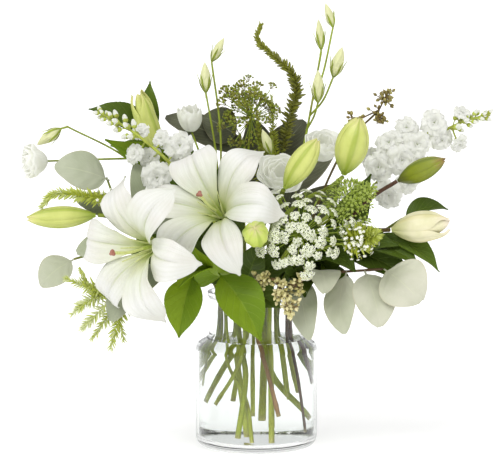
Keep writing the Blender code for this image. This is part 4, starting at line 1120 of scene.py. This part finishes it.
def make_loosestrife():
    bud, star = pointed_bud(), star_floret()
    for index, (name, spec) in enumerate(LOOSESTRIFE_SPIKES.items()):
        points, size, slim, tone_foot, tone_tip, count, open_florets = spec
        rng = np.random.default_rng(40 + index)
        stem, spike = main_stem(name), Shape()
        route = smooth_route(mm(points), 12)
        spike.tube(route, np.linspace(0.0011, 0.0005, len(route)), 8, tone=tone_foot)
        spots = clothe(spike, route, count, mm(size), slim, (tone_foot, tone_tip), rng, bud)
        for spot, turn in spots[:open_florets]:
            if rng.uniform() < 0.6:
                spike.stamp(star, turn, spot, 0.0019, tone=1.0)
        for shoot, length, tone, needles in SIDE_SHOOTS.get(name, []):
            line = smooth_route(mm(shoot), 8)
            spike.tube(line, np.linspace(0.0008, 0.0003, len(line)), 6, tone=tone)
            clothe(spike, line[4:], needles, mm(length), 0.55, (tone, tone + 0.1), rng, bud)
        stem.build(f"{name}_stem", STEM, "loosestrife", name)
        spike.build(f"{name}_spike", LOOSESTRIFE, "loosestrife", name)


# ---------------- ammi
def polar(r, angle, height):
    """The point at a radius and angle round the Z axis, at a height."""
    return np.array([r * math.cos(angle), r * math.sin(angle), height])


def umbellet(seed, florets):
    """A loose dome of tiny white florets on fine rays, of unit radius, that faces +Z."""
    rng = np.random.default_rng(seed)
    shape, star = Shape(), star_floret()
    for k in range(florets):
        r = math.sqrt((k + 0.5) / florets)
        spot = polar(r, k * GOLDEN_ANGLE, 0.40 * (1 - r * r)) + rng.uniform(-0.05, 0.05, 3)
        way = unit(spot + (0, 0, 1.1))
        turn = aim(way) @ spin(rng.uniform(0, TURN))
        shape.stamp(star, turn, spot, 0.26 + 0.06 * r, tone=rng.uniform(0.86, 1.0))
        shape.tube([(0, 0, -0.75), spot * 0.98], 0.020, 4, tone=0.42)
        shape.turned(spot - way * 0.02, spot + way * 0.10,
                     lambda t, a: 0.08 * sin(pi * (0.1 + 0.8 * t)), rings=4, sides=6, tone=0.60)
    return shape


def seed_head(seed, count, tones, plump, length):
    """A rounded cluster of green florets of unit radius."""
    rng = np.random.default_rng(seed)
    shape, bud, star = Shape(), pointed_bud(), star_floret()
    for k in range(count):
        r = math.sqrt((k + 0.5) / count)
        spot = polar(r, k * 2.4, 0.6 * (1 - r * r))
        way = unit(spot + (0, 0, 0.6))
        tone = rng.uniform(*tones)
        shape.tube([(0, 0, -0.7), spot], 0.03, 4, tone=tones[0])
        shape.stamp(bud, aim(way) @ np.diag([plump, plump, 1.0]), spot - way * 0.1, length, tone=tone)
        shape.stamp(star, aim(way), spot + way * 0.15, 0.26, tone=min(tone + 0.12, 0.62))
    return shape


# small white heads that stand away from the umbel, below it and to its right
WHITE_STRAYS = [
    (4, -124, 220), (33, -128, 211), (50, -130, 218), (72, -128, 219), (50, -126, 196),
    (100, -118, 229), (96, -116, 246), (20, -126, 206)]
# olive heads below the back umbel
OLIVE_STRAYS = [
    (-30, 24, 346), (-22, 26, 330), (-12, 22, 338), (0, 24, 326), (10, 22, 340), (-16, 24, 314),
    (4, 20, 310), (14, 24, 322), (-26, 22, 318), (-6, 20, 318), (18, 22, 352), (-36, 26, 334)]
# foot, facing, radius, depth, rays, size of a head, unevenness, stray heads, slot
UMBELS = {
    "ammi_umbel_white": ((44, -103.5, 234.5), (0.22, -0.80, 0.56), 47, 26, 44, 6, 5, WHITE_STRAYS,
                         "ammi_floret"),
    "ammi_umbel_green": ((96.5, -76.5, 259), (-0.22, -0.72, 0.66), 26, 22, 34, 5.8, 6, [], "ammi_green"),
    "ammi_umbel_back": ((-6, 30, 343), (-0.12, -0.20, 0.98), 29, 30, 38, 6.6, 20, OLIVE_STRAYS,
                        "ammi_green"),
}


def make_ammi():
    rng = np.random.default_rng(61)
    kinds = ([umbellet(seed, 17) for seed in (5, 6, 7)],
             [seed_head(seed, 11, (0.34, 0.60), 1.3, 0.75) for seed in (8, 9)],
             [seed_head(seed, 12, (0.0, 0.22), 2.2, 0.46) for seed in (10, 11)])
    main_stem("ammi_stem_white").build("ammi_stem_white_stem", STEM, "ammi_green", "ammi_stem_white")
    for (name, spec), heads in zip(UMBELS.items(), kinds):
        make_umbel(name, heads, rng, *spec)


def make_umbel(name, heads, rng, foot, facing, radius, depth, count, size, ragged, strays, slot):
    """Rays from one point, each with its own small head, in an uneven dome, and a few stray heads."""
    shape = Shape()
    turn = aim(facing)
    foot, radius, depth, size, ragged = mm(foot), mm(radius), mm(depth), mm(size), mm(ragged)
    spots = []
    for k in range(count):
        r = math.sqrt((k + 0.5) / count)
        angle = k * GOLDEN_ANGLE + rng.uniform(-0.15, 0.15)
        height = depth * (1 - 0.45 * r * r) + rng.uniform(-ragged, ragged * 0.6)
        local = polar(radius * r, angle, height)
        spots.append((foot + turn @ local, turn @ unit(local * (1, 1, 1.3))))
    spots += [(spot, unit(spot - foot + turn[:, 2] * 0.02)) for spot in mm(strays)]
    for k, (spot, way) in enumerate(spots):
        bend = foot + (spot - foot) * 0.5 - way * 0.004
        shape.tube(smooth_route([foot, bend, spot - way * size * 0.7], 5), 0.00045, 6, tone=0.40)
        shape.stamp(heads[k % len(heads)], aim(way) @ spin(rng.uniform(0, TURN)), spot,
                    size * rng.uniform(0.70, 1.20))
    if name in STALKS:
        main_stem(name).build(f"{name}_stem", STEM, slot, name)
    shape.build(f"{name}_rays", AMMI, slot, name)


# ---------------- leaves
# root, tip, width, upper side's direction, tone; the low tones of the salal leaves deep in the bunch are
# painted shade, the high tones of the front leaves painted light
SALAL_LEAVES = {
    "salal_branch_front": [
        ((-48, -86, 194), (-80, -136, 186), 34, (-2, -6, 8), 0.98),
        ((-34, -62, 186), (-66, -126, 222), 34, (-3, -9, 2), 0.92),
        ((-22, -40, 176), (-78, -60, 232), 36, (-2, -9, 2), 0.06),
        ((-22, -40, 176), (36, -70, 198), 42, (1, -9, 4), 0.16),
        ((-20, -39, 172), (24, -62, 154), 36, (1, -9, 4), 0.26),
        ((-30, -50, 180), (-142, -72, 220), 46, (-2, -8, 5), 0.24),
        ((-10, -45, 180), (6, -86, 226), 34, (0, -9, 3), 0.12),
    ],
    "salal_branch_right": [
        ((149, -46, 243), (197, -36, 255), 24, (0, -5, 9), 0.3),
        ((104, -40, 214), (166, -84, 200), 32, (1, -6, 8), 0.3),
        ((125, -45, 226), (188, -70, 195), 30, (3, -6, 7), 0.45),
        ((70, -12, 198), (86, -84, 134), 30, (3, -8, 5), 0.75),
        ((41, 4, 172), (66, -66, 206), 40, (1, -8, 5), 0.12),
        ((41, 4, 170), (50, -74, 170), 40, (1, -7, 6), 0.18),
        ((41, 4, 172), (28, -72, 214), 42, (0, -9, 3), 0.1),
        ((41, 4, 172), (20, -56, 240), 44, (0, -9, 3), 0.08),
        ((70, -12, 198), (98, -80, 196), 40, (1, -8, 5), 0.2),
        ((90, -28, 208), (162, -78, 184), 36, (1, -8, 5), 0.18),
        ((60, -8, 190), (78, -60, 236), 42, (1, -9, 3), 0.06),
        ((50, -2, 182), (106, -58, 246), 38, (2, -9, 3), 0.05),
        ((56, -6, 188), (46, -52, 262), 38, (0, -9, 3), 0.08),
        ((70, -12, 198), (120, -24, 286), 38, (1, -9, 2), 0.05),
        ((90, -28, 208), (142, -76, 222), 34, (2, -8, 5), 0.1),
    ],
    "salal_branch_back": [
        ((-78, 50, 280), (-152, 30, 316), 34, (-3, -7, 6), 0.55),
        ((-110, 44.8, 323.5), (-176, 30, 352), 30, (-1, -8, 6), 0.3),
        ((-110, 44.8, 323.5), (-112, 40, 380), 20, (-1, -9, 2), 0.45),
        ((-48, 48, 220), (-20, 80, 290), 38, (1, 9, 3), 0.5),
        ((-58, 48.8, 240), (-100, 85, 250), 38, (-2, 8, 5), 0.6),
        ((-34, 36, 180), (-62, -2, 262), 40, (-1, -9, 2), 0.06),
        ((-40, 40, 196), (-18, -6, 268), 40, (0, -9, 2), 0.06),
        ((-48, 48, 220), (-66, 2, 312), 36, (-1, -9, 3), 0.14),
        ((-52, 48, 228), (-14, 4, 314), 36, (1, -9, 3), 0.12),
        ((-66, 50, 256), (-153, -30, 322), 42, (0, -9, 3), 0.82),
        ((-44, 45, 206), (-112, -24, 246), 38, (-1, -9, 3), 0.06),
    ],
    "salal_leaf_front_left": [
        ((-63, -103, 196), (-80, -118, 132), 39, (-2, -10, 2), 0.9),
    ],
    "salal_leaf_front_centre": [
        ((-40, -96, 196), (6, -124, 131), 47, (2, -10, 3), 0.8),
    ],
}
# the dark tones of the back leaves turned into the bunch are painted shade; the pale cream tones are the
# leaves' own colour
EUCALYPTUS_LEAVES = {
    "eucalyptus_branch_left": [
        ((-188, -46, 202), (-222, -56, 176), 34, (-2, -9, 4), 0.86),
        ((-130, -34, 216), (-182, -74, 214), 34, (1, -9, 5), 0.78),
        ((-80, -16, 206), (-146, -104, 150), 50, (-4, -8, 4), 0.66),
        ((-90, -20, 209), (-124, -40, 298), 38, (-1, -9, 3), 0.62),
        ((-152, -30, 282), (-206, -50, 298), 42, (2, -9, 5), 0.8),
        ((-139, -34, 245), (-184, -38, 262), 28, (1, -8, 6), 0.42),
    ],
    "eucalyptus_branch_right": [
        ((60, -46, 187), (68, -128, 182), 38, (1, -4, 9), 0.92),
        ((92, -68, 192), (86, -104, 134), 36, (-5, -8, 3), 0.9),
        ((46.5, -34.5, 179), (52, -106, 130), 32, (-3, -8, 5), 0.82),
        ((110, -75, 194), (124, -108, 142), 44, (1, -9, 4), 0.95),
    ],
    "eucalyptus_branch_back": [
        ((6, 62, 280), (50, 58, 338), 38, (1, -9, 4), 0.12),
        ((16.5, 60.5, 250), (84, 56, 318), 36, (2, -8, 4), 0.2),
        ((-19.5, 54.2, 321.3), (-56, 44, 342), 40, (-1, -9, 4), 0.22),
        ((16.5, 60.5, 250), (-6, 46, 338), 42, (0, -9, 3), 0.16),
        ((-7, 59, 301.5), (-96, 50, 342), 32, (-2, -8, 5), 0.15),
        ((24, 58, 220), (70, 88, 240), 40, (3, 8, 4), 0.45),
        ((15.5, 60.7, 253), (-14, 98, 262), 40, (-1, 9, 4), 0.4),
        ((24, 58, 220), (24, 10, 290), 40, (0, -9, 2), 0.1),
        ((25, 56, 210), (86, 20, 270), 40, (1, -9, 3), 0.12),
    ],
    "eucalyptus_leaf_right": [
        ((129.6, -81.4, 196), (166, -106, 168), 56, (0, -9, 4), 0.97),
    ],
}
# side shoot of the left branch
EUCALYPTUS_SHOOT = [(-118, -30, 214.5), (-139, -34, 245), (-155, -30, 285)]


def add_leaf(shape, root, tip, width, facing, tone, roundness, seed, pointed):
    """A leaf with a short stalk, folded along its midrib, with a wavy blade."""
    root, width = mm(root), mm(width)
    run = mm(tip) - root
    length = np.linalg.norm(run)
    forward = run / length
    up = unit(facing - forward * (facing @ forward))
    side = np.cross(forward, up)
    rng = np.random.default_rng(seed)
    phase = rng.uniform(0, TURN, 3)

    def place(s, t):
        blade = clip((s - 0.10) / 0.90, 0, 1)
        outline = sin(pi * np.minimum(blade ** roundness, 0.992)) ** (0.56 if not pointed else 0.85)
        outline = np.where(s > 0.10, outline, 0)
        if pointed:
            teeth = 0.012 * sin(s * 120) * ease(0.2, 0.4, s)
            outline = outline * (1 - 0.35 * ease(0.80, 1.0, s)) * (1 + teeth)
        half = np.maximum(width / 2 * outline, 0.0008)
        fold = (0.45 if pointed else 0.12) * half * np.abs(t)
        lift = 0.12 * length * sin(pi * s) + fold
        lift = lift + 0.035 * width * np.abs(t) ** 2 * sin(5 * s + phase[0] + np.sign(t))
        puckers = sin(26 * (s - 0.3 * np.abs(t)) + phase[1])
        lift = lift + 0.012 * width * puckers * np.abs(t) * (1 - t ** 2) * 2
        lift = lift - 0.05 * length * ease(0.75, 1.0, s) ** 2
        sway = 0.02 * length * sin(pi * s + phase[2])
        return root + run * s[..., None] + side * (t * half + sway * s)[..., None] + up * lift[..., None]

    shape.sheet(place, along=36, across=16, thickness=LEAF_THICKNESS, tone=tone)
    stalk = np.array([place(np.array(s), np.array(0.0)) for s in np.linspace(0.0, 0.16, 5)])
    shape.tube(stalk - up * 0.0003, np.linspace(0.0010, 0.0006, 5), 6, tone=tone, along=0.1)


def make_leaves():
    kinds = ((SALAL_LEAVES, SALAL, "salal_leaf", 0.040, 0.75, True, 100),
             (EUCALYPTUS_LEAVES, EUCALYPTUS, "eucalyptus_leaf", 0.035, 0.92, False, 200))
    for table, material, slot, joints, roundness, pointed, first_seed in kinds:
        for index, (name, leaves) in enumerate(table.items()):
            blades = Shape()
            for k, leaf in enumerate(leaves):
                add_leaf(blades, *leaf, roundness, first_seed + 10 * index + k, pointed)
            blades.build(f"{name}_blades", material, slot, name)
            if name in STALKS:
                stem = main_stem(name, joints)
                if name == "eucalyptus_branch_left":
                    stem_tube(stem, mm(EUCALYPTUS_SHOOT), 0.0014, 0.0011, 0.45)
                stem.build(f"{name}_stem", STEM, slot, name)


# ---------------- seeded eucalyptus
# centre and spread of each bunch of seeds, tone, how many
SEED_BUNCHES = {
    "seeded_eucalyptus_front": [
        ((24, -112, 178), 16, 0.92, 60), ((4, -108, 188), 14, 0.8, 44), ((42, -110, 184), 14, 0.8, 46),
        ((32, -118, 164), 13, 0.95, 40)],
    "seeded_eucalyptus_right": [
        ((134, 10, 364), 13, 0.46, 34), ((127, 10, 346), 11.5, 0.42, 26),
        ((103, 12, 340), 12.5, 0.44, 30)],
}


def seed_capsule():
    """An urn-shaped seed capsule of unit length with a pointed cap."""
    shape = Shape()

    def skin(t, angles):
        belly = sin(pi * clip(t * 1.25, 0, 1)) ** 0.8 if t < 0.8 else 0
        cap = 0.30 * (1 - t) / 0.4 if t > 0.6 else 0
        return max(0.34 * belly, cap, 0.05 * (1 - t) + 0.02)

    shape.turned((0, 0, 0), (0, 0, 1.0), skin, rings=9, sides=9)
    return shape


def make_seeded_eucalyptus():
    capsule = seed_capsule()
    for index, (name, bunches) in enumerate(SEED_BUNCHES.items()):
        rng = np.random.default_rng(80 + index)
        stem, seeds = main_stem(name, joints=0.045), Shape()
        end = mm(STALKS[name][3][-1])
        for centre, spread, tone, count in bunches:
            centre, spread = mm(centre), mm(spread)
            twigs = [centre + unit(rng.normal(size=3)) * spread * 0.75 for _ in range(9)]
            for twig in twigs:
                seeds.tube(smooth_route([end, (end + centre) / 2, centre, twig], 4),
                           np.linspace(0.0009, 0.0005, 13), 6, tone=0.12)
            for k in range(count):
                twig = twigs[k % len(twigs)]
                way = unit(rng.normal(size=3) + 0.6 * unit(twig - centre) + (0, -0.3, 0))
                start = twig + (centre - twig) * rng.uniform(0, 0.9)
                size = rng.uniform(0.0042, 0.0058)
                seeds.tube([start, start + way * 0.0030], 0.0004, 5, tone=0.2)
                seeds.stamp(capsule, aim(way), start + way * 0.0026, size,
                            tone=clip(tone + rng.uniform(-0.22, 0.10), 0, 1))
        stem.build(f"{name}_stem", STEM, "eucalyptus_seed", name)
        seeds.build(f"{name}_seeds", SEEDS, "eucalyptus_seed", name)


# ---------------- stage, lights, camera
LENS = 180
CAMERA_PLACE = (-0.0068, -2.6, 0.52)
CAMERA_TARGET = (-0.0068, 0, 0.228)
STUDIO_BRIGHTNESS = 0.72
FLOOR_GLOW = 0.30


def make_stage():
    floor = Nodes("floor")
    shade = floor.mix(floor.noise(1.5, 2.0), (0.93, 0.93, 0.93), (0.95, 0.95, 0.95))
    material = floor.finish(shade, 0.8, Specular_IOR_Level=0.1, Emission_Color=(1, 1, 1, 1),
                            Emission_Strength=FLOOR_GLOW)
    bpy.ops.mesh.primitive_plane_add(size=140, location=(0, 0, 0))
    plane = bpy.context.object
    plane.name = "floor"
    plane.data.materials.append(material)
    world = bpy.data.worlds.new("studio")
    world.use_nodes = True
    background = world.node_tree.nodes["Background"]
    background.inputs["Color"].default_value = (1, 1, 1, 1)
    background.inputs["Strength"].default_value = STUDIO_BRIGHTNESS
    bpy.context.scene.world = world


def make_light(name, towards, softness, strength):
    """A broad soft light that shines evenly in one direction."""
    data = bpy.data.lights.new(name, "SUN")
    data.angle = math.radians(softness)
    data.energy = strength
    light = bpy.data.objects.new(name, data)
    light.rotation_euler = Vector(towards).to_track_quat("-Z", "Y").to_euler()
    bpy.context.scene.collection.objects.link(light)


def make_camera():
    data = bpy.data.cameras.new("camera")
    data.lens = LENS
    camera = bpy.data.objects.new("camera", data)
    camera.location = CAMERA_PLACE
    camera.rotation_euler = (Vector(CAMERA_TARGET) - camera.location).to_track_quat("-Z", "Y").to_euler()
    bpy.context.scene.collection.objects.link(camera)
    bpy.context.scene.camera = camera


make_stage()
make_light("key", (0.40, 0.72, -0.80), softness=30, strength=1.55)
make_light("fill", (-0.7, 0.7, -0.5), softness=60, strength=0.3)
make_camera()
bpy.context.scene.view_settings.view_transform = "Standard"

make_vase()
make_lily_stalks()
make_blooms()
make_lily_buds()
make_lisianthus()
make_stock()
make_loosestrife()
make_ammi()
make_leaves()
make_seeded_eucalyptus()
